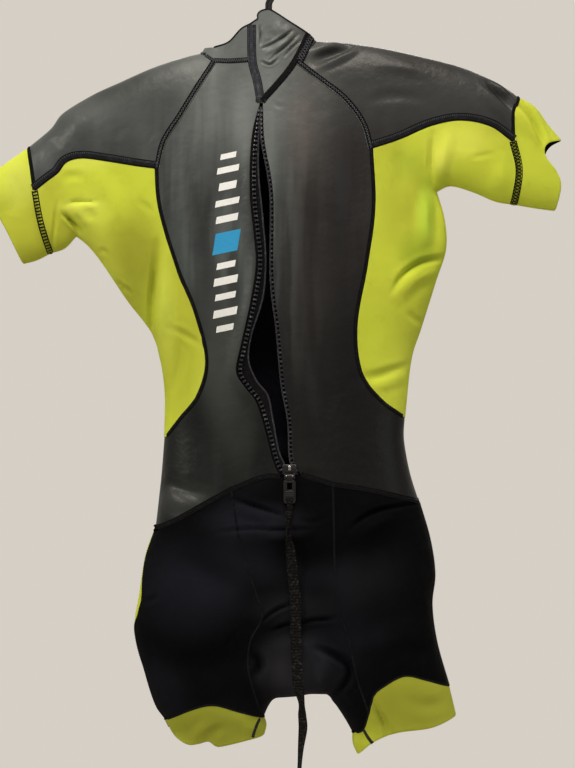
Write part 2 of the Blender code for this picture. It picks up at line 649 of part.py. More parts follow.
def shorts(nodes, sheets, collection):
    """The black seat and fronts, the lime thigh strips and the lime leg cuffs."""
    thigh = COUNTS["thigh"]
    arch_left = nodes["arch_left"]
    arch_in = nodes["arch_in_right"]
    arch_out = nodes["arch_out_right"]
    crotch = joined(nodes["crotch_left"], nodes["crotch_right"])
    seat = patch(nodes["thigh_back_left"], nodes["seat_seam_left"],
                 with_start(nodes["waist_out_left"], nodes["thigh_back_left"][0]),
                 with_start(arch_left, nodes["thigh_back_left"][-1]))
    cloth("seat_left", held_back(seat, ("top", "bottom", "left", "right")), -1, sheets, "jersey",
          collection)
    seat = patch(nodes["seat_seam_left"], nodes["seat_seam_right"],
                 joined(nodes["waist_in_left"], nodes["waist_middle"], nodes["waist_in_right"]),
                 joined(crotch, arch_in))
    seat = held_back(seat, ("top", "left", "right"))
    cloth("seat_centre", seat, -1, sheets, "jersey", collection)
    seat = patch(nodes["seat_seam_right"], nodes["hip_right"], nodes["waist_out_right"], arch_out)
    cloth("seat_right", held_back(seat, ("top", "bottom", "left")), -1, sheets, "jersey",
          collection)

    waist_out = nodes["waist_out_left"]
    thigh_seam = line([waist_out[thigh], *SEAMS["thigh_front_left"], arch_left[thigh]],
                      COUNTS["hip"])
    front = patch(nodes["hip_left"], thigh_seam, waist_out[:thigh + 1], arch_left[:thigh + 1])
    front = held_back(front, ("top", "bottom", "right"))
    turn = patch(nodes["thigh_back_left"], nodes["hip_left"],
                 line([nodes["thigh_back_left"][0], nodes["hip_left"][0]], 2, "end"),
                 line([nodes["thigh_back_left"][-1], nodes["hip_left"][-1]], 2, "end"))
    turn = held_back(turn, ("top", "bottom", "left"))
    flat, signs = wrapped(turn, front)
    cloth("thigh_left", flat, signs, sheets, "lime", collection)
    front = patch(thigh_seam, nodes["front_centre"],
                  joined(waist_out[thigh:], nodes["waist_in_left"]),
                  joined(arch_left[thigh:], nodes["crotch_left"]))
    cloth("shorts_front_left", held_back(front, ("top", "left", "right")), 1, sheets, "jersey",
          collection)

    waist_out = nodes["waist_out_right"]
    kept = len(arch_out) - thigh
    thigh_seam = line([waist_out[kept - 1], *SEAMS["thigh_front_right"], arch_out[kept - 1]],
                      COUNTS["hip"])
    front = patch(nodes["front_centre"], thigh_seam,
                  joined(nodes["waist_middle"], nodes["waist_in_right"], waist_out[:kept]),
                  joined(nodes["crotch_right"], arch_in, arch_out[:kept]))
    cloth("shorts_front_right", held_back(front, ("top", "left", "right")), 1, sheets, "jersey",
          collection)
    front = patch(thigh_seam, nodes["hip_right"], waist_out[kept - 1:], arch_out[kept - 1:])
    cloth("thigh_right", held_back(front, ("top", "bottom", "left")), 1, sheets, "lime",
          collection)

    half = patch(nodes["leg_out_left"], nodes["leg_in_left"], arch_left,
                 line(HEMS["leg_left"], len(arch_left) - 1, "both"))
    half = held_back(half, ("top",), LEG_CUFF_HOLD)
    tube("leg_cuff_left", [half, half], sheets, "lime", collection)
    arch = joined(arch_in, arch_out)
    half = patch(nodes["leg_in_right"], nodes["leg_out_right"], arch,
                 line(HEMS["leg_right"], len(arch) - 1, "both"))
    half = held_back(half, ("top",), LEG_CUFF_HOLD)
    tube("leg_cuff_right", [half, half], sheets, "lime", collection)


def with_start(nodes, start):
    """The nodes with their first one moved."""
    moved = nodes.copy()
    moved[0] = start
    return moved


def neck(nodes, sheets, collection):
    """The collar's band, its pointed flap over the zip, and the bindings on them."""
    count = COUNTS
    low_back = line(SEAMS["collar_seam"], count["collar_seam"] + 1)[::-1]
    parts = (
        (low_back, HEMS["collar_back"], -1),
        (nodes["collar_end_left"][::-1], HEMS["collar_turn_left"], -1),
        (nodes["collar_end_left"], HEMS["collar_turn_front"], 1),
        (line(SEAMS["neckline"], count["neckline"]), HEMS["collar_front"], 1),
        (nodes["collar_end_right"][::-1], HEMS["collar_turn_right"], 1),
    )
    low = joined(*[part[0] for part in parts])
    high = joined(*[line(hem, len(part) - 1) for part, hem, _ in parts])
    signs = joined_signs(parts)
    rows = np.linspace(0, 1, count["collar"] + 1)[:, None, None]
    flat = (1 - rows) * high[None] + rows * low[None]
    flat = held_back(flat, ("bottom", "left"))
    collar, collar_normal = cloth("collar", flat, signs, sheets, "skin", collection, SLEEVE_WALL)
    flap_left = line(SEAMS["flap_left"], count["raglan"] + count["collar"])
    flap_right = line(SEAMS["flap_right"], len(flap_left) - 1)
    tip = line([flap_left[-1], flap_right[-1]], count["flap"])
    flat = patch(flap_left, flap_right, line(HEMS["flap"], count["flap"]), tip)
    flat = held_back(flat, ("left", "right"), FLAP_HOLD)
    flap, flap_normal = cloth("collar_flap", flat, -1, sheets, "skin", collection, SLEEVE_WALL)
    for side, edge, inner, rows in (("left", 0, 1, slice(0, -2)), ("right", -1, -2, slice(1, -2))):
        strip(f"flap_binding_{side}", flap, flap_normal, edge, inner, BINDING_WIDTH, collection,
              rows, BINDING_LIFT)
    band = slice(0, count["collar_seam"])
    strip("collar_seam_tape", collar[:, band].transpose(1, 0, 2),
          collar_normal[:, band].transpose(1, 0, 2), -1, -2, COLLAR_TAPE_WIDTH, collection)


def joined_signs(parts):
    """Which sheet each column of the collar lies on, with 0 where it turns over a fold."""
    signs = []
    for nodes, _, sign in parts:
        signs += [sign] * (len(nodes) - 1)
    signs.append(0)
    turns = len(parts[0][0]) + len(parts[1][0]) - 2
    signs[turns] = 0
    return np.array(signs, float)


def strip(name, outer, normal, edge, inner, width, collection, rows=slice(None), lift=GAP):
    """A flat tape along one edge column of a panel, made from the panel's points moved out."""
    first = outer[rows, edge]
    second = outer[rows, inner]
    lengths = np.linalg.norm(second - first, axis=1, keepdims=True)
    share = np.minimum(width * MM / lengths, 0.9)
    inside = first + (second - first) * share
    turned = normal[rows, edge] * (1 - share) + normal[rows, inner] * share
    flat_normals = np.stack([normal[rows, edge], turned], axis=1)
    base = np.stack([first, inside], axis=1) + flat_normals * lift
    wall(name, base + flat_normals * TAPE_WALL, base, "tape", collection)


def sleeve_tapes(shoulders, collection):
    """The black tapes on the lower seam of each raglan top, behind and in front."""
    rows = slice(COUNTS["raglan"], None)
    for side, (outer, normal) in shoulders.items():
        for face, edge, inner in (("back", 0, 1), ("front", -1, -2)):
            strip(f"sleeve_tape_{side}_{face}", outer, normal, edge, inner, SLEEVE_TAPE_WIDTH,
                  collection, rows)


def zip_tapes(sheets, collection):
    """The two halves of the open zip's tape, just under the panels' edges."""
    left = line(SEAMS["zip_left"], FINE_STEPS)
    right = line(SEAMS["zip_right"], FINE_STEPS)
    heights = np.linspace(ZIP_TOP, ZIP_FOOT, ZIP_STEPS + 1)
    left_x = np.interp(-heights, -left[:, 1], left[:, 0])
    right_x = np.interp(-heights, -right[:, 1], right[:, 0])
    edge = np.array(ZIP_TAPE_EDGE, float)
    edge_x = np.interp(-heights, -edge[:, 1], edge[:, 0])
    edge_x = np.minimum(edge_x, left_x + ZIP_LEFT_SHARE * (right_x - left_x))
    shows = np.minimum(ZIP_RIGHT_SHOWS, ZIP_RIGHT_SHARE * (right_x - left_x))
    for name, columns in (
        ("zip_tape_left", (left_x - ZIP_TAPE_UNDER, left_x, edge_x)),
        ("zip_tape_right", (right_x - shows, right_x, right_x + ZIP_TAPE_UNDER)),
    ):
        flat = np.stack([np.column_stack([x, heights]) for x in columns], axis=1)
        base, normal = sheets.lifted(flat, -1)
        top = base - normal * (BODY_WALL + 3 * GAP)
        wall(name, top, top - normal * ZIP_TAPE_WALL, "tape", collection)


def box(size, at):
    """A box's mesh in millimetres about a point, as a new bmesh."""
    shape = bmesh.new()
    scale = Matrix.Diagonal((*[length * MM for length in size], 1))
    bmesh.ops.create_cube(shape, size=1,
                          matrix=Matrix.Translation(Vector(at) * MM) @ scale)
    return shape


def rod(radius, length, at, sides=20):
    """A rod's mesh along X in millimetres, as a new bmesh."""
    shape = bmesh.new()
    turn = Matrix.Translation(Vector(at) * MM) @ Matrix.Rotation(math.pi / 2, 4, "Y")
    bmesh.ops.create_cone(shape, cap_ends=True, segments=sides, radius1=radius * MM,
                          radius2=radius * MM, depth=length * MM, matrix=turn)
    return shape


def solid_from(shape, name, collection):
    """An object from a bmesh, which is freed."""
    mesh = bpy.data.meshes.new(name)
    shape.to_mesh(mesh)
    shape.free()
    thing = bpy.data.objects.new(name, mesh)
    collection.objects.link(thing)
    return thing


def combine(base, others, operation, cutters):
    """Boolean modifiers that join or cut others into a base object."""
    for other in others:
        for linked in list(other.users_collection):
            linked.objects.unlink(other)
        cutters.objects.link(other)
        other.hide_render = True
        other.display_type = "WIRE"
        change = base.modifiers.new(other.name, "BOOLEAN")
        change.operation = operation
        change.solver = "EXACT"
        change.object = other


def finish_solid(thing, kind, matrix, followers):
    """Give an object its material, and put it and its cutters in place."""
    thing.data.materials.append(material(thing.name, kind))
    for placed in [thing, *followers]:
        placed.matrix_world = matrix


def slider_frame(sheets):
    """The slider's own frame: X along the waist, Y into the cloth, Z up the zip."""
    points, normals = sheets.lifted(np.array([[SLIDER_AT]], float), -1)
    inward = -Vector(normals[0, 0])
    inward.x = 0
    inward.normalize()
    right = Vector((1, 0, 0))
    turn = Matrix((right, inward, right.cross(inward))).transposed().to_4x4()
    return Matrix.Translation(Vector(points[0, 0])) @ turn


def zip_slider(sheets, collection, cutters):
    """The slider's plate with two lugs and a pin. Returns the pin's place in metres."""
    frame = slider_frame(sheets)
    width, length, depth = SLIDER_SIZE
    plate = solid_from(box((width, depth, length), (0, -SLIDER_CLEAR - depth / 2, 0)),
                       "zip_slider", collection)
    lug_width, lug_length, lug_depth = LUG_SIZE
    lug_out = SLIDER_CLEAR + depth + lug_depth / 2 - LUG_SUNK
    pin = (0, -PIN_OUT, -PIN_DROP)
    added = [solid_from(box((lug_width, lug_depth, lug_length),
                            (way * LUG_SPACING / 2, -lug_out, -PIN_DROP)),
                        f"slider_lug_{number}", collection)
             for number, way in enumerate((-1, 1))]
    added.append(solid_from(rod(PIN_RADIUS, LUG_SPACING, pin), "slider_pin", collection))
    combine(plate, added, "UNION", cutters)
    finish_solid(plate, "plastic", frame, added)
    return frame @ (Vector(pin) * MM)


def tab_frame(sheets, pin):
    """The pull tab's frame at its hinge, hanging just clear of the cloth, and its foot's depth."""
    length = TAB_SIZE[1]
    foot_z = pin.z / MM - length
    foot_y = -(sheets.depth_at(pin.x / MM, foot_z) + TAB_SIZE[2] / 2 + TAB_CLEAR)
    lean = math.asin((foot_y - pin.y / MM) / length)
    return Matrix.Translation(pin) @ Matrix.Rotation(lean, 4, "X"), foot_y


def pull_tab(frame, collection, cutters):
    """The moulded tab: a hub on the pin, a window, three ribs and a slot for the leash."""
    width, length, depth = TAB_SIZE
    plate = solid_from(box((width, depth, length - TAB_TOP), (0, 0, -(length + TAB_TOP) / 2)),
                       "pull_tab", collection)
    stem_length = TAB_TOP + STEM_OVERLAP
    stem = solid_from(box((HUB_WIDTH, depth, stem_length), (0, 0, -stem_length / 2)),
                      "tab_stem", collection)
    hub = solid_from(rod(HUB_RADIUS, HUB_WIDTH, (0, 0, 0)), "tab_hub", collection)
    ribs = [solid_from(box(RIB_SIZE, (0, 0, height)), f"tab_rib_{number}", collection)
            for number, height in enumerate(TAB_RIBS)]
    holes = [solid_from(box((across, 3 * depth, high), (0, 0, height)), name, collection)
             for name, (across, high, height) in (("tab_window", TAB_WINDOW),
                                                  ("tab_slot", TAB_SLOT))]
    holes.append(solid_from(rod(PIN_RADIUS + BORE_CLEAR, 3 * HUB_WIDTH, (0, 0, 0)), "tab_bore",
                            collection))
    combine(plate, [stem, hub, *ribs], "UNION", cutters)
    combine(plate, holes, "DIFFERENCE", cutters)
    finish_solid(plate, "plastic", frame, [stem, hub, *ribs, *holes])


def leash(sheets, foot_y, collection):
    """The flat webbing that hangs from the tab, over the seat and then straight down."""
    table = np.array(LEASH_STATIONS, float)
    stations = smooth_points(table, 8)
    picks = np.linspace(0, len(stations) - 1, LEASH_STEPS).round().astype(int)
    stations = stations[picks]
    furthest = -foot_y + TAB_SIZE[2] / 2 + GAP / MM + LEASH_THICKNESS / 2
    sections = []
    for height, sideways, twist, width in stations:
        across = Vector((math.cos(math.radians(twist)), math.sin(math.radians(twist)), 0))
        half_depth = abs(across.y) * width / 2 + LEASH_THICKNESS / 2
        reach = sheets.depth_at(sideways, height) + LEASH_CLEAR + half_depth
        furthest = max(furthest, reach)
        centre = Vector((sideways, -furthest, height))
        out = Vector((-across.y, across.x, 0))
        corners = ((-1, -1), (1, -1), (1, 1), (-1, 1))
        sections.append([(centre + across * width / 2 * a + out * LEASH_THICKNESS / 2 * b) * MM
                         for a, b in corners])
    loft("leash", sections, "tape", collection)


def hanger(nodes, collection):
    """The moulded bar that carries the shoulders, and the grooved hook above it."""
    fold = joined(nodes["top_left"][::-1], np.array([nodes["top_left"][0], nodes["top_right"][0]]),
                  nodes["top_right"])
    inside = (fold[:, 0] > BAR_ENDS[0]) & (fold[:, 0] < BAR_ENDS[1])
    xs = np.unique(np.concatenate([BAR_ENDS, fold[inside, 0], BAR_UNDER_NECK]))
    tops = np.interp(xs, fold[:, 0], fold[:, 1])
    rise = np.gradient(tops, xs)
    wall_drop = (SLEEVE_WALL + GAP) / MM + BAR_CLEAR
    centres = tops - (wall_drop + BAR_HEIGHT / 2) * np.sqrt(1 + rise ** 2)
    sections = []
    for place, x in enumerate(xs):
        share = BAR_END_SHARE if place in (0, len(xs) - 1) else 1.0
        section = []
        for step in range(BAR_SIDES):
            turn = 2 * math.pi * step / BAR_SIDES
            y = BAR_THICKNESS / 2 * math.cos(turn) * share
            z = BAR_HEIGHT / 2 * math.sin(turn) * share
            section.append(Vector((x, y, centres[place] + z)) * MM)
        sections.append(section)
    loft("hanger_bar", sections, "plastic", collection)
    hanger_hook(np.interp(0, xs, centres) + BAR_HEIGHT / 2 + HOOK_CLEAR, collection)


def hanger_hook(foot, collection):
    """The hook: a grooved stem that swings out and over the rod it hangs on."""
    reach = HOOK_RADIUS + HOOK_WIDTH / 2
    first, last, points = HOOK_TURN
    turns = np.radians(np.linspace(first, last, points))
    route = [(0, foot), (0, foot + HOOK_STEM), *HOOK_NECK]
    route += [(reach * math.cos(turn), reach * math.sin(turn) - HOOK_RADIUS) for turn in turns]
    path = line(route, HOOK_STEPS)
    depths = {1: HOOK_THICKNESS / 2, 2: HOOK_THICKNESS / 2 - HOOK_GROOVE}
    sections = []
    for centre, tangent in zip(path, np.gradient(path, axis=0)):
        along = tangent / np.linalg.norm(tangent)
        across = np.array([along[1], -along[0]])
        section = []
        for a, b in HOOK_SECTION:
            x, z = centre + across * a * HOOK_WIDTH / 2
            section.append(Vector((x, math.copysign(depths[abs(b)], b), z)) * MM)
        sections.append(section)
    loft("hanger_hook", sections, "plastic", collection)


def main():
    for thing in list(bpy.data.objects):
        bpy.data.objects.remove(thing, do_unlink=True)
    collection = bpy.data.collections.new("swimrun_wetsuit")
    cutters = bpy.data.collections.new("cutters")
    bpy.context.scene.collection.children.link(collection)
    bpy.context.scene.collection.children.link(cutters)
    nodes = seam_nodes()
    sheets = Sheets(nodes)
    upper_body(nodes, sheets, collection)
    shoulders = sides_and_sleeves(nodes, sheets, collection)
    sleeve_tapes(shoulders, collection)
    shorts(nodes, sheets, collection)
    neck(nodes, sheets, collection)
    zip_tapes(sheets, collection)
    pin = zip_slider(sheets, collection, cutters)
    frame, foot_y = tab_frame(sheets, pin)
    pull_tab(frame, collection, cutters)
    leash(sheets, foot_y, collection)
    hanger(nodes, collection)


main()
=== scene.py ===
"""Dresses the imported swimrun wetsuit: fine cloth with folds, seams, zip, leash, hanger, light and camera.

The cloth is drawn again from the flat outline and seams of the part, in millimetres as (x, z), on a
finer grid, with the small folds added. Places are worked out in millimetres on the flat outline and
turned to metres where they are lifted on to the cloth. The zip side faces -Y and +Z is up.
"""
import json
import math

import bmesh
import bpy
import numpy as np
from bpy.props import FloatProperty, FloatVectorProperty, PointerProperty
from bpy.types import Operator, Panel, PropertyGroup
from mathutils import Matrix, Vector


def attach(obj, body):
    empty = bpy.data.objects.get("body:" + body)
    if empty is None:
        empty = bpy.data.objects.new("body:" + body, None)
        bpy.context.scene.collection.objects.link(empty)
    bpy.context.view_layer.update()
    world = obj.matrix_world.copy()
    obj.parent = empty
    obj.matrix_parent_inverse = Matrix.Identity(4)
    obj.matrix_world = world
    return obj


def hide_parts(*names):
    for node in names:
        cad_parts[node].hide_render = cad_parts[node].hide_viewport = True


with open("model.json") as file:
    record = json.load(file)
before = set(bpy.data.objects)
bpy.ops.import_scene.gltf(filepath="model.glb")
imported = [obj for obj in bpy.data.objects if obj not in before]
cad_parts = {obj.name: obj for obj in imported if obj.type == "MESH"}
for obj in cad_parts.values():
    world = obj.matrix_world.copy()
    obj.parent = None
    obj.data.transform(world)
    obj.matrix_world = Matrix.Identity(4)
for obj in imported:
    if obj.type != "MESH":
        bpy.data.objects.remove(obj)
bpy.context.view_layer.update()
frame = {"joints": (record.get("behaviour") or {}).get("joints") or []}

bl_info = {
    "name": "Swimrun Wetsuit",
    "version": (1, 0, 0),
    "blender": (4, 5, 0),
    "location": "View3D > Sidebar > Wetsuit",
    "description": "Dresses the packed swimrun wetsuit with folds, seams, a zip and its finishes",
    "category": "Object",
}

# Walls and clearances, in metres
MM = 0.001
HALF_GAP = 0.15 * MM
BODY_WALL = 3.0 * MM
SLEEVE_WALL = 2.2 * MM

# Outline: the folds where back and front meet
FOLDS = {
    "collar_left": [(-91, -126), (-95, -133)],
    "top_left": [(-95, -133), (-123, -140), (-165, -154), (-210, -174), (-249, -192), (-291, -218),
                 (-308, -240), (-339, -266)],
    "cuff_top_left": [(-339, -266), (-375, -291), (-406, -315)],
    "cuff_under_left": [(-347, -431), (-328, -426), (-308, -416)],
    "arm_left": [(-308, -416), (-288, -409), (-272, -392)],
    "flank_left": [(-272, -392), (-255, -406), (-235, -431), (-200, -483), (-168, -525),
                   (-153, -564), (-147, -616), (-148, -676)],
    "waist_left": [(-148, -676), (-153, -735), (-161, -805)],
    "hip_left": [(-161, -805), (-174, -841), (-183, -896), (-190, -948), (-178, -998),
                 (-162, -1051), (-147, -1074)],
    "leg_out_left": [(-147, -1074), (-137, -1092)],
    "leg_in_left": [(-6, -1096), (-3, -1082), (-6, -1070)],
    "crotch_left": [(-6, -1070), (1, -1055), (9, -1046), (24, -1044), (45, -1042)],
    "crotch_right": [(45, -1042), (73, -1037), (91, -1049), (108, -1074), (118, -1092)],
    "leg_in_right": [(118, -1092), (119, -1109), (125, -1123)],
    "leg_out_right": [(265, -1068), (255, -1026)],
    "hip_right": [(255, -1026), (238, -966), (231, -913), (235, -868), (228, -819), (213, -767)],
    "waist_right": [(213, -767), (200, -724), (192, -679), (193, -648)],
    "flank_right": [(193, -648), (202, -567), (216, -522), (237, -455), (251, -410), (249, -368),
                    (238, -329)],
    "arm_right": [(238, -329), (258, -321), (290, -330), (321, -343), (346, -347)],
    "cuff_under_right": [(346, -347), (381, -353), (405, -356)],
    "cuff_top_right": [(414, -256), (395, -234), (377, -209), (353, -195)],
    "top_right": [(353, -195), (325, -176), (276, -154), (220, -139), (157, -125), (101, -118),
                  (66, -116)],
    "collar_right": [(66, -116), (61, -108)],
}
FOLD_RUNS = (
    ("collar_left", "top_left", "cuff_top_left"),
    ("cuff_under_left", "arm_left", "flank_left", "waist_left", "hip_left", "leg_out_left"),
    ("leg_in_left", "crotch_left", "crotch_right", "leg_in_right"),
    ("leg_out_right", "hip_right", "waist_right", "flank_right", "arm_right", "cuff_under_right"),
    ("cuff_top_right", "top_right", "collar_right"),
)

# Seams on the two sheets
SEAMS = {
    "collar_end_left": [(-95, -133), (-77, -146)],
    "collar_end_right": [(66, -116), (42, -148)],
    "collar_seam": [(-77, -146), (-53, -147), (-25, -145)],
    "neckline": [(-77, -146), (-46, -165), (-8, -174), (24, -165), (42, -148)],
    "raglan_left": [(-77, -146), (-95, -175), (-123, -221), (-147, -259), (-157, -298)],
    "under_left": [(-157, -298), (-186, -294), (-228, -287), (-262, -283), (-284, -289),
                   (-296, -304), (-312, -316), (-328, -329)],
    "side_left": [(-157, -298), (-155, -336), (-147, -375), (-126, -441), (-102, -500),
                  (-87, -567), (-98, -616), (-123, -648), (-144, -674)],
    "raglan_right": [(42, -148), (73, -172), (108, -200), (133, -234), (144, -270)],
    "under_right": [(144, -270), (185, -256), (227, -238), (269, -230), (311, -238), (343, -260)],
    "side_right": [(144, -270), (147, -350), (137, -430), (122, -518), (129, -584), (157, -623),
                   (189, -646)],
    "cuff_up_left": [(-339, -266), (-333, -297), (-328, -329)],
    "cuff_low_left": [(-328, -329), (-320, -372), (-308, -416)],
    "cuff_up_right": [(353, -195), (344, -222), (343, -260)],
    "cuff_low_right": [(343, -260), (352, -300), (346, -347)],
    "flap_left": [(-25, -94), (-24, -145), (-17, -175), (-11, -207)],
    "flap_right": [(58, -108), (49, -129), (31, -161), (-8, -207)],
    "zip_left": [(-11, -207), (-21, -245), (-25, -287), (-25, -343), (-20, -392), (-17, -434),
                 (-25, -487), (-39, -549), (-45, -584), (-32, -606), (-17, -626), (-4, -668),
                 (6, -707), (17, -731)],
    "zip_right": [(-8, -207), (-6, -259), (3, -308), (7, -350), (7, -455), (15, -525), (22, -602),
                  (31, -651), (34, -707), (45, -728)],
    "waist_out_left": [(-161, -805), (-130, -792), (-88, -769), (-52, -749)],
    "waist_in_left": [(-52, -749), (-8, -732), (17, -731)],
    "waist_middle": [(17, -731), (45, -728)],
    "waist_in_right": [(45, -728), (90, -742)],
    "waist_out_right": [(90, -742), (143, -750), (213, -767)],
    "seat_left": [(-52, -749), (-38, -830), (-17, -892), (-8, -923), (-25, -959), (-28, -998),
                  (-14, -1051), (-6, -1070)],
    "seat_right": [(90, -742), (95, -892), (113, -960), (123, -1009), (140, -1060)],
    "thigh_back_left": [(-160.3, -804.5), (-172, -841), (-176, -872), (-177.5, -900),
                        (-183.5, -925), (-188, -948), (-176, -998), (-160, -1050),
                        (-145, -1073)],
    "thigh_front_left": [(-140, -880), (-121, -960)],
    "thigh_front_right": [(205, -880), (208, -960)],
    "front_centre": [(17, -731), (40, -880), (45, -1042)],
    "arch_left": [(-147, -1074), (-109, -1056), (-78, -1049), (-46, -1057), (-6, -1070)],
    "arch_in_right": [(118, -1092), (132, -1085), (140, -1060)],
    "arch_out_right": [(140, -1060), (146, -1037), (157, -1025), (189, -1008), (220, -1014),
                       (255, -1026)],
    "leg_tab_left": [(-11, -1071), (-18, -1083), (-22, -1096)],
    "leg_tab_outer": [(-147, -1074), (-144, -1080), (-141, -1086)],
    "leg_tab_right": [(133, -1085), (139, -1095), (146, -1104)],
}

# Open hems
HEMS = {
    "cuff_left": [(-406, -315), (-388, -350), (-367, -388), (-347, -431)],
    "cuff_right_back": [(414, -256), (394, -262), (388, -272), (391, -284), (404, -301),
                        (411, -322), (405, -356)],
    "cuff_right_front": [(414, -256), (401, -263), (394, -274), (396, -286), (405, -303),
                         (410, -324), (405, -356)],
    "leg_left": [(-137, -1092), (-124, -1101), (-111, -1106), (-97, -1104), (-84, -1101),
                 (-75, -1107), (-66, -1108), (-30, -1100), (-6, -1096)],
    "leg_right": [(125, -1123), (147, -1102), (178, -1089), (227, -1082), (265, -1068)],
    "collar_back": [(-25, -94), (-39, -102), (-56, -120), (-77, -127)],
    "collar_turn_left": [(-77, -127), (-91, -126)],
    "collar_turn_front": [(-91, -126), (-77, -129)],
    "collar_front": [(-77, -129), (-40, -136), (-8, -139), (24, -130), (42, -117)],
    "collar_turn_right": [(42, -117), (61, -108)],
    "flap": [(-25, -94), (-20, -90.5), (-15.5, -87), (-15.5, -81.5), (-12, -77), (-5, -74.3),
             (4, -75), (31, -92), (58, -108)],
}

# Half depths about the outline's plane and rounding at the folds: x, z, back, front, rounding
DEPTHS = (
    (0, -80, 12, 20, 48),
    (-10, -120, 24, 26, 50),
    (-10, -260, 40, 40, 60),
    (-180, -215, 27, 28, 52),
    (220, -190, 27, 28, 52),
    (-300, -330, 26, 26, 50),
    (-375, -370, 22, 24, 45),
    (320, -270, 26, 26, 50),
    (400, -300, 20, 22, 42),
    (-10, -430, 38, 36, 60),
    (20, -640, 30, 30, 60),
    (20, -800, 40, 34, 60),
    (40, -900, 58, 38, 62),
    (-110, -930, 44, 38, 58),
    (170, -930, 44, 38, 58),
    (50, -1010, 48, 34, 45),
    (-75, -1090, 32, 34, 50),
    (190, -1070, 32, 34, 50),
)
DEPTH_SPREAD = 75.0

# The part's own large folds, faded here towards their ends: sheet, x and z of both ends, half
# width, height
CREASES = (
    ("back", -40, -832, 84, -852, 22, -7),
    ("back", -52, -760, 20, -783, 9, -3),
    ("back", 174, -770, 115, -800, 10, -4),
    ("back", -160, -410, -165, -530, 10, -5),
    ("back", -151, -738, -88, -759, 10, -4),
    ("back", 224, -270, 226, -400, 13, -5),
    ("back", 59, -147, 120, -124, 10, -5),
    ("back", 185, -590, 124, -592, 9, -3),
    ("front", -60, -690, 90, -706, 14, -5),
    ("front", -40, -980, 80, -990, 18, -6),
    ("front", -150, -430, -130, -560, 12, -4),
    ("front", 190, -300, 200, -430, 12, -4),
)

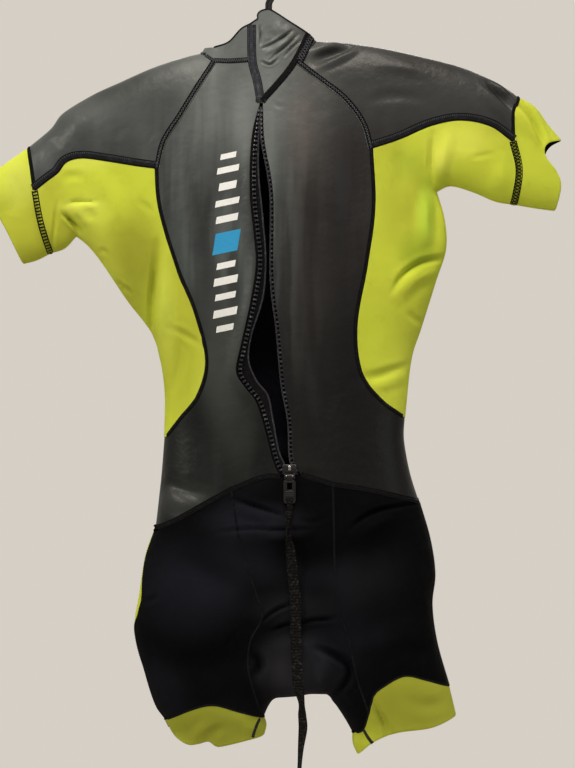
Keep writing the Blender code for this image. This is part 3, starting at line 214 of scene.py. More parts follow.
# Smaller folds along the cloth: half width, height, and the line that each follows
BACK_FOLDS = (
    (2.8, -2.8, ((-286, -349), (-266, -345), (-240, -346))),
    (7, 2.0, ((-283, -357), (-258, -353), (-238, -354))),
    (2.8, -2.6, ((-183, -343), (-172, -351), (-161, -361))),
    (3.4, -4.6, ((-156, -398), (-160, -440), (-165, -483), (-168, -540))),
    (9, 3.6, ((-144, -420), (-148, -511), (-148, -600))),
    (4, -1.8, ((-139, -522), (-118, -531), (-95, -546))),
    (3, -1.4, ((-241, -417), (-234, -413), (-227, -416))),
    (3, -1.4, ((-220, -462), (-211, -459), (-204, -465))),
    (3, -1.4, ((-209, -470), (-202, -466), (-193, -473))),
    (3.0, -6.0, ((-288, -362), (-279, -371), (-266, -386))),
    (7, 2.6, ((-276, -358), (-262, -366), (-250, -380))),
    (2.8, -2.2, ((-305, -410), (-300, -378), (-297, -345))),
    (8, 2.0, ((-314, -406), (-319, -364), (-325, -329))),
    (14, -2.5, ((-361, -364), (-356, -329), (-361, -301))),
    (5, -1.6, ((-288, -312), (-274, -309), (-260, -311))),
    (12, 2.4, ((-242, -308), (-221, -336), (-207, -378))),
    (7, -2.0, ((-123, -532), (-126, -574), (-134, -616))),
    (3, -3.6, ((231, -321), (228, -287), (230, -248))),
    (8, 2.6, ((238, -315), (246, -280), (252, -252))),
    (9, 4.4, ((222, -340), (219, -370), (222, -408))),
    (8, -2.6, ((232, -329), (237, -364), (239, -399))),
    (4, -4.4, ((174, -472), (188, -449), (213, -431), (248, -423))),
    (8, 4.0, ((184, -478), (207, -452), (240, -440))),
    (4, -1.6, ((196, -501), (207, -510), (218, -514))),
    (5, -2.2, ((137, -592), (171, -582), (196, -574))),
    (7, 1.8, ((146, -606), (174, -596), (195, -591))),
    (2.8, -1.2, ((285, -284), (300, -280), (317, -277))),
    (9, -1.8, ((178, -273), (185, -294), (190, -322))),
    (8, 3.0, ((349, -215), (364, -238), (380, -264))),
    (4.5, -5.0, ((352, -206), (368, -222), (382, -250), (389, -268))),
    (10, 2.2, ((325, -273), (328, -301), (325, -329))),
    (2.8, -1.0, ((-216, -256), (-207, -246), (-197, -240))),
    (2.8, -0.8, ((-172, -264), (-167, -256), (-160, -249))),
    (12, 1.5, ((-268, -222), (-271, -240), (-273, -258))),
    (9, -1.2, ((-306, -256), (-302, -264), (-299, -273))),
    (6.5, -6.5, ((60, -147), (84, -137), (118, -122))),
    (4, 3.2, ((72, -156), (98, -145), (128, -127))),
    (5, 1.6, ((62, -133), (81, -125), (104, -122))),
    (5, -5.6, ((304, -172), (324, -192), (344, -216))),
    (7, 2.4, ((305, -192), (319, -209), (336, -231))),
    (6, -1.6, ((137, -203), (171, -197), (213, -200))),
    (8, 1.4, ((151, -150), (185, -155), (227, -164))),
    (2.8, -1.4, ((-156, -736), (-120, -746), (-78, -757))),
    (2.8, -1.0, ((-148, -743), (-112, -753), (-88, -764))),
    (8, 1.2, ((-150, -756), (-118, -766), (-95, -772))),
    (7, -1.4, ((-35, -592), (-22, -612), (-14, -634))),
    (18, 2.4, ((-39, -525), (-50, -574), (-39, -623))),
    (20, -2.4, ((-78, -483), (-64, -553), (-50, -630))),
    (22, -2.6, ((59, -525), (70, -581), (87, -651))),
    (16, 2.4, ((39, -553), (49, -609), (53, -679))),
    (14, -2.0, ((118, -273), (115, -343), (109, -427))),
    (16, 2.0, ((76, -189), (87, -259), (90, -357))),
    (18, 1.8, ((-87, -203), (-95, -273), (-101, -357))),
    (2.8, -0.8, ((6, -206), (13, -211), (22, -213))),
    (5, -1.4, ((45, -729), (56, -727), (70, -729))),
    (1.7, -3.4, ((-8, -129), (6, -122), (22, -112), (34, -103))),
    (3.0, 1.8, ((-4, -136), (14, -127), (33, -111))),
    (1.7, -2.6, ((2, -146), (12, -136), (26, -124), (42, -108))),
    (1.6, -2.2, ((22, -141), (33, -128), (47, -116))),
    (1.6, -3.0, ((-11, -124), (-11, -110), (-12, -97))),
    (5, -2.0, ((0, -105), (6, -115), (0, -125))),
    (1.7, -2.6, ((-10, -148), (2, -152), (13, -145))),
    (6, 2.0, ((11, -91), (17, -102), (31, -105))),
    (3, -4.0, ((-50, -762), (-25, -770), (0, -778), (22, -785))),
    (6, 3.0, ((-45, -773), (-22, -781), (3, -790))),
    (2.8, -3.0, ((-74, -808), (-30, -803), (20, -804), (74, -801))),
    (22, -5.0, ((-50, -820), (10, -856), (88, -838))),
    (5, 2.2, ((-8, -816), (24, -815), (59, -813))),
    (4, -2.0, ((42, -791), (62, -794), (81, -788))),
    (3, -4.0, ((210, -768), (162, -775), (134, -786), (114, -803))),
    (8, 2.2, ((182, -784), (157, -791), (137, -805))),
    (2.8, -4.0, ((-8, -931), (6, -918), (22, -910), (36, -906))),
    (2.8, -3.6, ((4, -945), (20, -938), (34, -935))),
    (2.8, -4.2, ((40, -935), (64, -929), (94, -927))),
    (4.5, -8.0, ((66, -968), (94, -980), (113, -998), (108, -1018), (84, -1042))),
    (9, 3.4, ((84, -978), (74, -1010), (68, -1040))),
    (14, 5.0, ((-8, -970), (38, -962), (87, -973))),
    (10, -2.4, ((-25, -973), (-17, -990), (-14, -1015))),
    (6, -9.0, ((-20, -976), (-12, -990), (-16, -1010))),
    (10, -4.0, ((66, -959), (87, -976), (106, -990))),
    (12, 3.0, ((0, -1029), (45, -1026), (87, -1021))),
    (18, -5.0, ((-125, -838), (-80, -868), (-38, -884))),
    (26, 5.0, ((-165, -880), (-95, -915), (-30, -940))),
    (3, -1.4, ((-62, -970), (-50, -953), (-39, -939))),
    (4, -1.6, ((-176, -906), (-165, -903), (-154, -897))),
    (20, -5.0, ((104, -850), (150, -828), (205, -808))),
    (26, 5.0, ((90, -905), (145, -886), (218, -856))),
    (22, -5.0, ((112, -955), (160, -938), (222, -905))),
    (20, -5.0, ((-150, -990), (-85, -994), (-32, -975))),
    (12, -2.6, ((146, -987), (185, -973), (230, -980))),
    (6, -2.2, ((95, -1032), (104, -1043), (115, -1060))),
    (6, -2.6, ((-81, -1102), (-76, -1088), (-64, -1079))),
    (6, 2.2, ((-101, -1099), (-95, -1085), (-87, -1074))),
    (2.8, -3.4, ((145, -1036), (153, -1058), (168, -1093))),
    (5, 1.8, ((151, -1043), (165, -1065), (179, -1089))),
    (8, -1.6, ((199, -1043), (220, -1050), (248, -1047))),
    (8, 1.6, ((-50, -1064), (-34, -1074), (-22, -1088))),
    (8, 2.6, ((-22, -245), (-26, -287), (-26, -343), (-21, -392), (-18, -434), (-26, -487),
              (-40, -549), (-46, -584), (-33, -606), (-18, -626), (-5, -668))),
    (6, 1.2, ((-4, -259), (5, -308), (9, -350), (9, -455), (17, -525), (24, -602), (33, -651))),
)
FRONT_FOLDS = (
    (8, -3.2, ((-277, -349), (-249, -343), (-214, -347))),
    (6, 2.2, ((-280, -360), (-249, -357), (-221, -361))),
    (8, -3.0, ((-162, -399), (-167, -462), (-168, -525))),
    (10, 2.4, ((-148, -427), (-146, -511), (-151, -609))),
    (8, -2.8, ((230, -329), (232, -364), (235, -413))),
    (8, 2.6, ((213, -336), (213, -378), (216, -427))),
    (5, -2.2, ((182, -483), (202, -458), (238, -438))),
    (14, -3.0, ((-95, -651), (-39, -693), (45, -707))),
    (12, 2.6, ((-81, -679), (-25, -715), (59, -727))),
    (16, -2.8, ((87, -483), (81, -567), (70, -651))),
    (16, -2.4, ((-60, -343), (-50, -455), (-56, -553))),
    (18, 2.6, ((31, -287), (39, -399), (34, -525))),
    (14, -3.0, ((-137, -735), (-88, -749), (-25, -746))),
    (12, -3.0, ((115, -735), (164, -724), (202, -729))),
    (14, 3.4, ((-25, -847), (45, -841), (108, -850))),
    (10, -3.4, ((-45, -931), (17, -911), (87, -920))),
    (12, -3.0, ((-137, -959), (-88, -945), (-39, -966))),
    (12, -3.0, ((129, -959), (178, -948), (227, -959))),
    (4, -2.2, ((-8, -998), (20, -987), (45, -990))),
    (4, -2.2, ((59, -993), (81, -984), (104, -990))),
    (9, -2.4, ((-263, -217), (-252, -242), (-249, -273))),
    (9, 2.2, ((227, -164), (235, -192), (238, -220))),
    (6, -2.0, ((-39, -164), (-14, -181), (17, -172))),
    (6, -2.0, ((-102, -1071), (-95, -1088), (-98, -1105))),
    (6, -2.0, ((185, -1029), (193, -1054), (188, -1079))),
)

# How many pieces each line is cut into
COUNTS = {
    "raglan": 46, "under": 64, "flank": 98, "waist": 28, "hip": 100, "cuff": 24, "leg": 20,
    "collar": 10, "collar_end": 32, "collar_seam": 24, "neckline": 44, "cuff_up": 32,
    "cuff_low": 46, "waist_out_left": 54, "waist_in_left": 26, "waist_middle": 8,
    "waist_in_right": 26, "waist_out_right": 54, "arch_left": 54, "arch_in": 8, "arch_out": 54,
    "crotch": 26, "flap": 56, "tip": 6, "thigh": 16,
}

# How the cloth rolls down at a cut edge: distance in from the edge and share of the roll
EDGE_ROLL = ((0.0, 1.0), (0.9, 0.4), (2.2, 0.08))
EDGE_SPAN = 0.3
EVERY_EDGE = ("top", "bottom", "left", "right")

# Folds: how far one reaches in half widths, the bank beside it (share of its height, place and
# sharpness), and how the small and the large ones fade towards their ends
FOLD_REACH = 3.5
FOLD_BANK = (0.28, 1.9, 1.6)
FOLD_FADE = (0.03, 0.94, 0.7)
CREASE_FADE = (0.08, 0.84)

# Slack: cell size in millimetres, share of its height and seed; the front's seeds lie further on.
# Slack and small folds die out where the cloth is less deep than this, near where it turns over
SLACK = ((95, 1.0, 3), (43, 0.55, 7), (19, 0.22, 11))
FRONT_SEEDS = 20
NOISE_CELLS = 96
FULL_DEPTH = 11
DEPTH_POWER = 1.2

# Zip, slider and pull tab
ZIP_TAPE_EDGE = [(-11, -207), (-14, -259), (-14, -308), (-8, -371), (-4, -427), (-8, -480),
                 (-24, -532), (-28, -567), (-17, -596), (-1, -617), (6, -651), (14, -693),
                 (22, -712)]
ZIP_TAPE_UNDER = 6.0
ZIP_TAPE_THICKNESS = 0.9 * MM
ZIP_LEFT_SHARE = 0.55
ZIP_RIGHT_SHARE = 0.3
ZIP_RIGHT_SHOWS = 4.0
ZIP_TOP = -212
ZIP_FOOT = -727
ZIP_STEPS = 150
ZIP_NODES = 300
ZIP_FOOT_CLEAR = 4 * MM

# The zip tape's columns: all, those under the panel, how deep those lie, and where the rest rise
ZIP_COLUMNS = 9
ZIP_HIDDEN = 3
ZIP_DROP = 0.55 * BODY_WALL
ZIP_RISE = (1.2, 0.2)
ZIP_HEM = 2.6
ZIP_HEM_RAISED = 0.5 * MM

# Teeth: size, how far in from the panel's edge (and the most, as a share of the gap), outline and
# levels (height and share of the width)
TOOTH_SIZE = (5.2, 3.6, 2.6)
TEETH_IN = {"left": (5.5, 0.4), "right": (-1.0, -0.1)}
TOOTH_OUTLINE = ((-0.5, -0.5), (-0.1, -0.36), (0.2, -0.36), (0.5, -0.5), (0.5, 0.5), (0.2, 0.36),
                 (-0.1, 0.36), (-0.5, 0.5))
TOOTH_LEVELS = ((-0.54, 1.0), (0.21, 1.0), (0.48, 0.9), (0.6, 0.66))

# Slider, in its own frame: size, place and bevel of each block: shield, foot, side rails, lugs and
# bridge; then the pin's radius, length and place, and the lock spring
SLIDER_AT = (29.5, -724)
SLIDER_BLOCKS = (
    ((20.0, 3.2, 14.26), (0, -2.4, 3.68), 1.1), ((15.6, 3.2, 11.5), (0, -2.4, -4.6), 1.1),
    ((2.4, 4.6, 11.5), (-8.6, -2.7, 4.6), 0.7), ((2.4, 4.6, 11.5), (8.6, -2.7, 4.6), 0.7),
    ((2.0, 6.0, 7.0), (-6.0, -6.2, -6.0), 0.7), ((2.0, 6.0, 7.0), (6.0, -6.2, -6.0), 0.7),
    ((5.4, 2.4, 8.5), (0, -4.6, 5.8), 0.9),
)
SLIDER_PIN = (1.2, 13.4, (0, -7.6, -6.0))
SLIDER_SPRING = ((2.6, 1.2, 4.6), (0, -5.9, 6.6), 0.4)
BEVEL_STEPS = 3
ROD_SIDES = 32

# Pull tab: width, length and depth, its rounded edge and corners, window and slot (width, height
# and middle), ribs and hub
TAB_SIZE = (17.0, 38.0, 2.6)
TAB_TOP = 5.6
TAB_CLEAR = 1.2
TAB_EDGE = 0.45
TAB_CORNER = 3.4
TAB_HOLE_CORNER = 1.6
TAB_WINDOW = (7.0, 10.0, -14.0)
TAB_SLOT = (9.0, 4.0, -32.5)
TAB_RIBS = (-21.5, -24.1, -26.7)
TAB_RIB = (13.0, 3.8, 1.3)
TAB_BROW = (12.0, 3.1, 0.9)
TAB_BROW_AT = -7.6
HUB_RADIUS = 3.0
HUB_WIDTH = 8.6
HUB_REACH = 1.5
HUB_AT = -3.4
CORNER_STEPS = 6

# Leash: height, sideways place, twist in degrees and width of the webbing
LEASH_STATIONS = (
    (-760, 30, 0, 7), (-771, 30, 0, 7), (-790, 28, 55, 13), (-812, 28, 66, 15),
    (-833, 31, 30, 15), (-868, 34, 12, 15), (-903, 38, 4, 15), (-938, 38, 0, 15),
    (-973, 39, -8, 15), (-1015, 41, -12, 15), (-1043, 46, -58, 15), (-1060, 47, -44, 15),
    (-1078, 48, -40, 15), (-1106, 45, -62, 15), (-1138, 43, -72, 15), (-1180, 42, -50, 15),
    (-1230, 43, -20, 15),
)
LEASH_THICKNESS = 1.5
LEASH_CLEAR = 1.2
LEASH_STEPS = 240
LEASH_LEAVES = -1044
LEASH_OVER_TAB = 0.3

# The webbing's section, thicker along its woven edges, and its loop through the tab's slot
LEASH_SECTION = ((-1, -0.7), (-0.93, -1.05), (-0.8, -0.85), (0, -0.9), (0.8, -0.85), (0.93, -1.05),
                 (1, -0.7), (1, 0.7), (0.93, 1.05), (0.8, 0.85), (0, 0.9), (-0.8, 0.85),
                 (-0.93, 1.05), (-1, 0.7))
LOOP_SECTION = ((-1, -1), (0, -1.15), (1, -1), (1, 1), (0, 1.15), (-1, 1))
LOOP_HALF_WIDTH = 3.87
LOOP_HALF_THICKNESS = 0.55
LOOP_OUT = 0.7
LOOP_STEPS = 60

# Profiles of sewn bands: shares of the half width, and lifts in millimetres
DOME = ((-1, -0.9), (-1, -0.3), (-0.78, 0.22), (0, 0.45), (0.78, 0.22), (1, -0.3), (1, -0.9))
CORD = ((-1, -0.6), (-1, 0.15), (-0.5, 0.75), (0.5, 0.75), (1, 0.15), (1, -0.6))
TAPE = ((-1, -0.6), (-1, 0.25), (-0.88, 0.5), (0, 0.6), (0.88, 0.5), (1, 0.25), (1, -0.6))
HEM = ((-1, -0.4), (-0.8, 0.5), (0, 0.9), (0.8, 0.5), (1, -0.4), (0, -0.9))
BINDING = ((-1, -1.2), (-1, 0.9), (-0.86, 1.35), (-0.4, 1.5), (0.4, 1.5), (0.86, 1.35), (1, 0.9),
           (1, -1.2))

# Finishes of the sewn pieces, in the order of their slots
SEWN_FINISHES = ("tape", "thread", "black_thread", "binding", "lip")
BLACK, GREY_THREAD, BLACK_THREAD, BOUND, HIGHLIGHT_CORD = range(5)

# Each kind of seam: its bands (width, profile, slot and shift) and its zigzag (width, slot, pitch,
# thickness, shift and lift) in millimetres; None takes the sidebar's stitch or thread
SEWING = {
    # The raglan seam's pale cord is a painted highlight along the panel's edge
    "raglan": (((7.4, DOME, BLACK, 0), (1.2, CORD, BLACK, -2.9), (1.3, CORD, HIGHLIGHT_CORD, 4.1)),
               (3.2, GREY_THREAD, 4.0, 1.0, 0, 0.4)),
    "flank": (((6.0, DOME, BLACK, 0), (1.0, CORD, BLACK, 2.3)),
              (3.4, BLACK_THREAD, 3.0, None, 0, 0.4)),
    "cuff": (((6.2, DOME, BLACK, 0),), (3.6, BLACK_THREAD, None, None, 0, 0.4)),
    "waist": (((7.6, DOME, BLACK, 1.4), (2.4, CORD, BLACK, 4.1), (2.4, CORD, BLACK, -1.3)),
              (2.4, BLACK_THREAD, None, None, 1.4, 0.4)),
    "seat": (((3.4, DOME, BLACK, 0),), (2.6, BLACK_THREAD, 3.0, None, 0, 0.4)),
    "thigh": (((3.4, DOME, BLACK, 0),), (2.6, BLACK_THREAD, None, None, 0, 0.4)),
    "arch": (((3.4, DOME, BLACK, 0),), (2.4, BLACK_THREAD, None, None, 0, 0.4)),
    "neck": (((5.8, DOME, BLACK, 0),), (4.0, GREY_THREAD, 3.0, None, 0, 0.4)),
    "collar_tape": (((7.0, TAPE, BLACK, 0),), (4.8, GREY_THREAD, 3.0, None, 0, 0.7)),
}
STEP = 2.2 * MM
FINE_STEP = 2.0 * MM
COARSE_STEP = 2.8 * MM
TACK_STEP = 1.0 * MM
FLAT_STEP = 0.8

# A stitch: share of its length and lift in thicknesses
STITCH_ARCH = ((0.0, -0.45), (0.3, 0.35), (0.7, 0.35), (1.0, -0.45))

# The open lattice in each cuff seam: place of its edge cords, width, pitch and thickness
LATTICES = {"left": (3.7, 7.0, 4.6, 2.0), "right": (4.4, 8.8, 9.4, 1.6)}
LATTICE_EDGE = 1.5
STITCH_LIFT = 0.3

# Shoulder tapes: bands (width, profile, slot and shift) and rows of stitches (width, slot and shift)
SHOULDER_BANDS = ((10.4, TAPE, BLACK_THREAD, 3.8), (2.4, CORD, BLACK, 0.38),
                  (1.6, CORD, BLACK, 8.74))
SHOULDER_TICKS = ((2.8, GREY_THREAD, 6.65), (1.8, BLACK_THREAD, 1.14))
TICK_PITCH = 2.8
TICK_LIFT = 0.7

# Leg tabs: seam and width; and how much narrower their stitches are, and the stitches' pitch
LEG_TABS = (("leg_tab_left", 5.4), ("leg_tab_outer", 3.2), ("leg_tab_right", 5.4))
TAB_STITCH_IN = 1.6
TAB_STITCH_PITCH = 2.6

# Flap tapes: seam, node, shift, width and slot; where they start and end; their stitches and tack
FLAP_TAPES = (("flap_left", "flap_binding_left", 1.0, 10.8, BOUND),
              ("flap_right", "flap_binding_right", -2.6, 8.8, BLACK))
FLAP_TAPE_ENDS = (2.0, 1.0)
FLAP_TAPE_STEPS = 120
FLAP_STITCH = 1.6
FLAP_STITCH_IN = 2.2
FLAP_STITCH_LIFT = 1.55
FLAP_EDGE = 1.5
TACK = ((-18, -203), (-3, -204))
TACK_WIDTH = 4.4
TURNED_EDGE = 2.2

# The braided tape at the collar's right end: its width, threads (width, pitch, thickness and
# lift) and line; and the turned top edges of collar and flap
BRAID = [(60, -110), (52, -128), (43, -147)]
BRAID_WIDTH = 12.0
BRAID_THREADS = (8.6, 7.5, 0.9, 1.6)
TURNED_EDGES = ("collar_back", "flap", "collar_front")

# Hanger
BAR_ENDS = (-238, 238)
BAR_HEIGHT = 15.0
BAR_THICKNESS = 9.0
BAR_BELOW = 2.8
BAR_STEPS = 140
BAR_SMOOTHING = 9
BAR_SIDES = 24
BAR_END = 7
BAR_TIP = 0.03
HOOK_WIDTH = 10.0
HOOK_THICKNESS = 6.0
HOOK_GROOVE = 1.2
HOOK_RADIUS = 20.0
HOOK_STEM = 20.0
HOOK_NECK = [(0, -70), (1.5, -60)]
HOOK_TURN = (-58, 202, 11)
HOOK_STEPS = 120
HOOK_ABOVE_BAR = 0.3
HOOK_END = 4
HOOK_TIP = 0.05
HOOK_EDGE = 0.7

# The generic print on the left back panel: foot and head of its column, and its dashes
PRINT_FOOT = (-61.0, -530.0)
PRINT_HEAD = (-56.0, -275.0)
PRINT_WIDTH = 33.0
PRINT_DASHES = (
    (0.03, 9, 0.72, "white"), (0.115, 11, 1.0, "white"), (0.205, 9, 0.86, "white"),
    (0.29, 11, 1.0, "white"), (0.375, 9, 0.78, "white"), (0.50, 30, 1.06, "blue"),
    (0.63, 10, 0.92, "white"), (0.72, 9, 1.0, "white"), (0.81, 11, 0.74, "white"),
    (0.90, 9, 0.92, "white"), (0.975, 8, 0.66, "white"),
)
PRINT_SLANT = 7.0
PRINT_LEAN = 0.16
PRINT_GRID = (16, 8)
PRINT_LIFT = 0.12 * MM
PRINT_SUNK = 0.1 * MM

# The raster on which the form is worked out: left, low, right and high edges and its pitch
RASTER = (-440, -1150, 446, -50)
RASTER_PITCH = 2.0
OUTSIDE_BAND = 6.0
SLOPE_STEP = 1.5

# Camera: the place it looks at, its distance and the height that the frame covers, in metres
VIEW_CENTRE = (0.0266, -0.6006)
VIEW_DISTANCE = 3.0
VIEW_HEIGHT = 1.0752
VIEW_PLANE = -0.03
SENSOR = 36.0

# Stage: floor, lights (place, width, power and tint) and where they aim, and how the room darkens
# (axis, low and high ends, colour)
FLOOR_HEIGHT = -1.5
FLOOR_RADIUS = 1.0
FLOOR_SIDES = 96
LIGHTS = (
    ("ceiling_light", (0.0, -1.1, 1.5), 1.2, 46, "#FFF6EA"),
    ("key_light", (-1.9, -1.9, 0.7), 0.8, 30, "#FFF9F0"),
    ("fill_light", (1.9, -1.9, -0.2), 1.4, 5, "#F3F6FF"),
    ("rear_light", (0.4, 2.2, 0.6), 1.6, 24, "#FFFFFF"),
)
LIGHTS_AIM = (0.0, 0.0, -0.5)
ROOM = "#D6CFC5"
ROOM_SLOPES = (("Z", -0.5, -0.2, "#5F5A54"), ("Y", -0.5, 0.6, "#8F8B85"))

# Painted light and shade on the cloths: place (x, z), half width, half height, strength and colour
# Skin: painted highlights on back and waist, painted shade on shoulder tops, right panel and by the right
# cuff
SKIN_PAINTED_LIGHT = (
    (-67, -555, 42, 130, 0.6, "#4B4E4B"), (-45, -660, 40, 75, 0.35, "#3E403E"),
    (-120, -762, 52, 32, 0.3, "#575A57"), (73, -380, 52, 120, 0.5, "#141212"),
    (-215, -178, 110, 45, 0.55, "#232525"), (215, -152, 120, 42, 0.55, "#1D1B1B"),
    (325, -186, 42, 20, 0.75, "#0E0E0E"), (-150, -215, 45, 40, 0.3, "#2A2C2C"),
    (45, -250, 30, 70, 0.3, "#625956"), (-38, -240, 20, 70, 0.35, "#7C8280"),
)
# Lime: painted highlights on the sleeve tops, painted shade on the flanks, by the armpit and on the hanging
# legs
LIME_PAINTED_LIGHT = (
    (-350, -315, 38, 50, 0.5, "#E6F06A"), (-256, -290, 50, 20, 0.5, "#E6EE62"),
    (-262, -352, 45, 16, 0.5, "#E6EE62"), (-183, -425, 50, 95, 0.8, "#93942C"),
    (-215, -400, 45, 40, 0.4, "#A0A030"), (-143, -505, 19, 100, 0.55, "#DDE85A"),
    (268, -258, 62, 34, 0.7, "#F0F560"), (183, -345, 42, 95, 0.4, "#ABAB36"),
    (221, -362, 19, 66, 0.65, "#BEE046"), (208, -415, 34, 36, 0.65, "#98AE2C"),
    (240, -285, 26, 26, 0.6, "#F2F866"), (192, -290, 30, 34, 0.45, "#A8BC3A"),
    (-81, -1084, 125, 62, 0.9, "#8E9130"), (199, -1052, 120, 75, 0.8, "#999B34"),
)
# Shorts: painted highlights on the bulges of seat and crotch that catch the light
JERSEY_PAINTED_HIGHLIGHTS = (
    (-109, -885, 90, 85, 0.6, "#24242E"), (-20, -792, 90, 34, 0.7, "#26262F"),
    (31, -912, 75, 30, 0.6, "#26262A"), (143, -889, 95, 60, 0.5, "#1E1E22"),
    (36, -995, 68, 58, 1.0, "#323238"),
)
SPOT_EDGE = (0.2, 1.1)
ROUGHNESS_SPREAD = 0.12
ROUGHNESS_CELLS = (0.3, 0.7)
THREAD_WANDER = 0.4
# Painted shade: the colour mixed into the gaps between a weave's threads
THREAD_GAP_SHADE = "#070707"

# A jersey's loops: both spacings, direction of the second, depth; drawn twice as coarse as they are,
# so that they show. The wave texture's own period is a twentieth of a full turn.
JERSEY_LOOPS = (1.3 * MM, 1.04 * MM, "X", 0.35 * MM)
WAVE_PERIOD = 2 * math.pi / 20

# Woven pieces and threads: key, name, colour (None takes the sidebar's), pale colour and rib pitch
WOVEN = (
    ("tape", "woven_seam_tape", None, "#1E1D21", 1.2),
    ("binding", "woven_collar_binding", "#3C3D43", "#666870", 1.2),
    ("hem", "zip_guard_hem", "#3C3C40", "#5C5C62", 1.2),
    ("thread", "grey_spun_thread", None, "#77797E", 0.8),
    ("black_thread", "black_spun_thread", "#1E1E21", "#3A3A40", 0.8),
    ("webbing", "polyester_webbing", "#0D0D0D", "#3E3E3A", 4.2),
    # The lip is a painted highlight: a pale cord along the raglan seam's edge
    ("lip", "pale_skin_lip", "#565B59", "#7C827F", 3.0),
)

# Hard parts and inks: key, name, colour (None takes the sidebar's), worn colour (on the teeth, painted
# highlights), roughness, grain in millimetres, metal and coat
HARD = (
    # The teeth's pale colour is painted highlight, standing in for glints on their crowns
    ("teeth", "acetal_teeth", "#242428", "#808088", 0.26, 0.6, 0.0, 0.0),
    ("slider", "enamelled_zinc_slider", "#070708", "#202022", 0.34, 0.4, 0.0, 0.25),
    ("steel", "polished_steel_spring", "#C9C9C6", "#E6E6E2", 0.22, 0.5, 1.0, 0.0),
    ("tab", "moulded_nylon_tab", "#080808", "#1C1D1B", 0.42, 0.35, 0.0, 0.0),
    ("hanger", "moulded_abs_hanger", None, "#2A2A2C", 0.36, 0.6, 0.0, 0.0),
    ("ink", "white_screen_ink", None, "#D5D7D4", 0.5, 0.5, 0.0, 0.0),
    ("blue_ink", "blue_screen_ink", None, "#1C7FB0", 0.5, 0.5, 0.0, 0.0),
)


def linear(shade):
    """An sRGB hex colour as linear red, green and blue; one from the sidebar is linear already."""
    if not isinstance(shade, str):
        return tuple(shade)
    values = [int(shade[i:i + 2], 16) / 255 for i in (1, 3, 5)]
    return tuple(value / 12.92 if value <= 0.04045 else ((value + 0.055) / 1.055) ** 2.4
                 for value in values)


def colour(name, description, text):
    """A colour of the sidebar, from its sRGB hex value."""
    return FloatVectorProperty(name=name, description=description, default=linear(text), size=3,
                               min=0, max=1, subtype="COLOR")


def size(name, description, metres):
    """A length of the sidebar, in metres."""
    return FloatProperty(name=name, description=description, default=metres, min=0, unit="LENGTH",
                         subtype="DISTANCE", precision=4)


class SuitColours(PropertyGroup):
    """The dyes, rubbers and inks of the suit."""
    skin: colour("Smooth skin", "Closed-cell skin of the black rubber on back, front and arms", "#2E3131")
    skin_bloom: colour("Skin bloom", "Where the skin has gone pale with use", "#535957")
    skin_warm: colour("Warm skin", "Browner stretches of the skin on the right half", "#3E3634")
    lime: colour("Lime jersey", "Dyed nylon jersey of the sides and cuffs", "#CFDB42")
    lime_deep: colour("Deep lime", "The same jersey where it is rubbed and in its folds", "#B3B33A")
    jersey: colour("Black jersey", "Nylon jersey of the shorts", "#060608")
    # Pale bluish patches on the shorts: partly wear, partly painted sheen
    jersey_wear_and_sheen: colour("Worn jersey", "Shorts jersey where it has gone grey", "#25252F")
    lining: colour("Lining", "Jersey inside the suit", "#17151D")
    tape: colour("Tape", "Woven seam tape", "#0B0B0C")
    thread: colour("Thread", "Spun thread of the flat seams", "#63666B")
    hanger: colour("Hanger", "Moulded plastic of the hanger", "#121213")
    ink: colour("White ink", "Screen ink of the dashes", "#E9EAE8")
    blue_ink: colour("Blue ink", "Screen ink of the wide dash", "#2493C6")


class SuitSizes(PropertyGroup):
    """Sizes of what the scene adds to the part."""
    fold_strength: FloatProperty(name="Fold strength", description="How deep the small folds are",
                                 default=1.25, min=0, max=2)
    slack: size("Slack", "Height of the slow unevenness of hanging cloth", 0.0009)
    roll: size("Edge roll", "How far a cut edge rolls down", 0.0008)
    stitch: size("Stitch pitch", "Distance from one zigzag to the next", 0.0036)
    thread: size("Thread", "Thickness of the sewing thread", 0.0008)
    tooth_pitch: size("Tooth pitch", "Distance from one zip tooth to the next", 0.0062)


def smooth_points(points, per_span=16):
    """A Catmull-Rom curve through the points, finely sampled."""
    knots = np.array(points, float)
    padded = np.vstack([2 * knots[0] - knots[1], knots, 2 * knots[-1] - knots[-2]])
    steps = np.linspace(0, 1, per_span, endpoint=False)[:, None]
    spans = []
    for i in range(len(knots) - 1):
        a, b, c, d = padded[i:i + 4]
        spans.append(b + 0.5 * steps * (c - a) + steps ** 2 * (a - 2.5 * b + 2 * c - 0.5 * d)
                     + steps ** 3 * (1.5 * (b - c) + 0.5 * (d - a)))
    spans.append(knots[-1:])
    return np.vstack(spans)


def lengths_along(points):
    """How far along a polyline each of its points lies."""
    return np.concatenate([[0], np.cumsum(np.linalg.norm(np.diff(points, axis=0), axis=1))])


def unit(vectors):
    """The vectors, each made one long."""
    return vectors / np.maximum(np.linalg.norm(vectors, axis=-1, keepdims=True), 1e-9)


def shared_out(points, wanted, along=None):
    """The points at wanted distances along a polyline."""
    along = lengths_along(points) if along is None else along
    return np.column_stack([np.interp(wanted, along, points[:, i]) for i in range(points.shape[1])])


def line(points, count, crowd=None):
    """The nodes that cut a smooth curve into a number of pieces, evenly or crowded at an end."""
    fine = smooth_points(points)
    turns = np.linspace(0, 1, count + 1)
    shares = {"start": 1 - np.cos(turns * math.pi / 2), "end": np.sin(turns * math.pi / 2),
              "both": (1 - np.cos(turns * math.pi)) / 2, None: turns}[crowd]
    return shared_out(fine, shares * lengths_along(fine)[-1])


def joined(*lines):
    """Lines end to end, with each shared node once."""
    return np.vstack([lines[0]] + [following[1:] for following in lines[1:]])


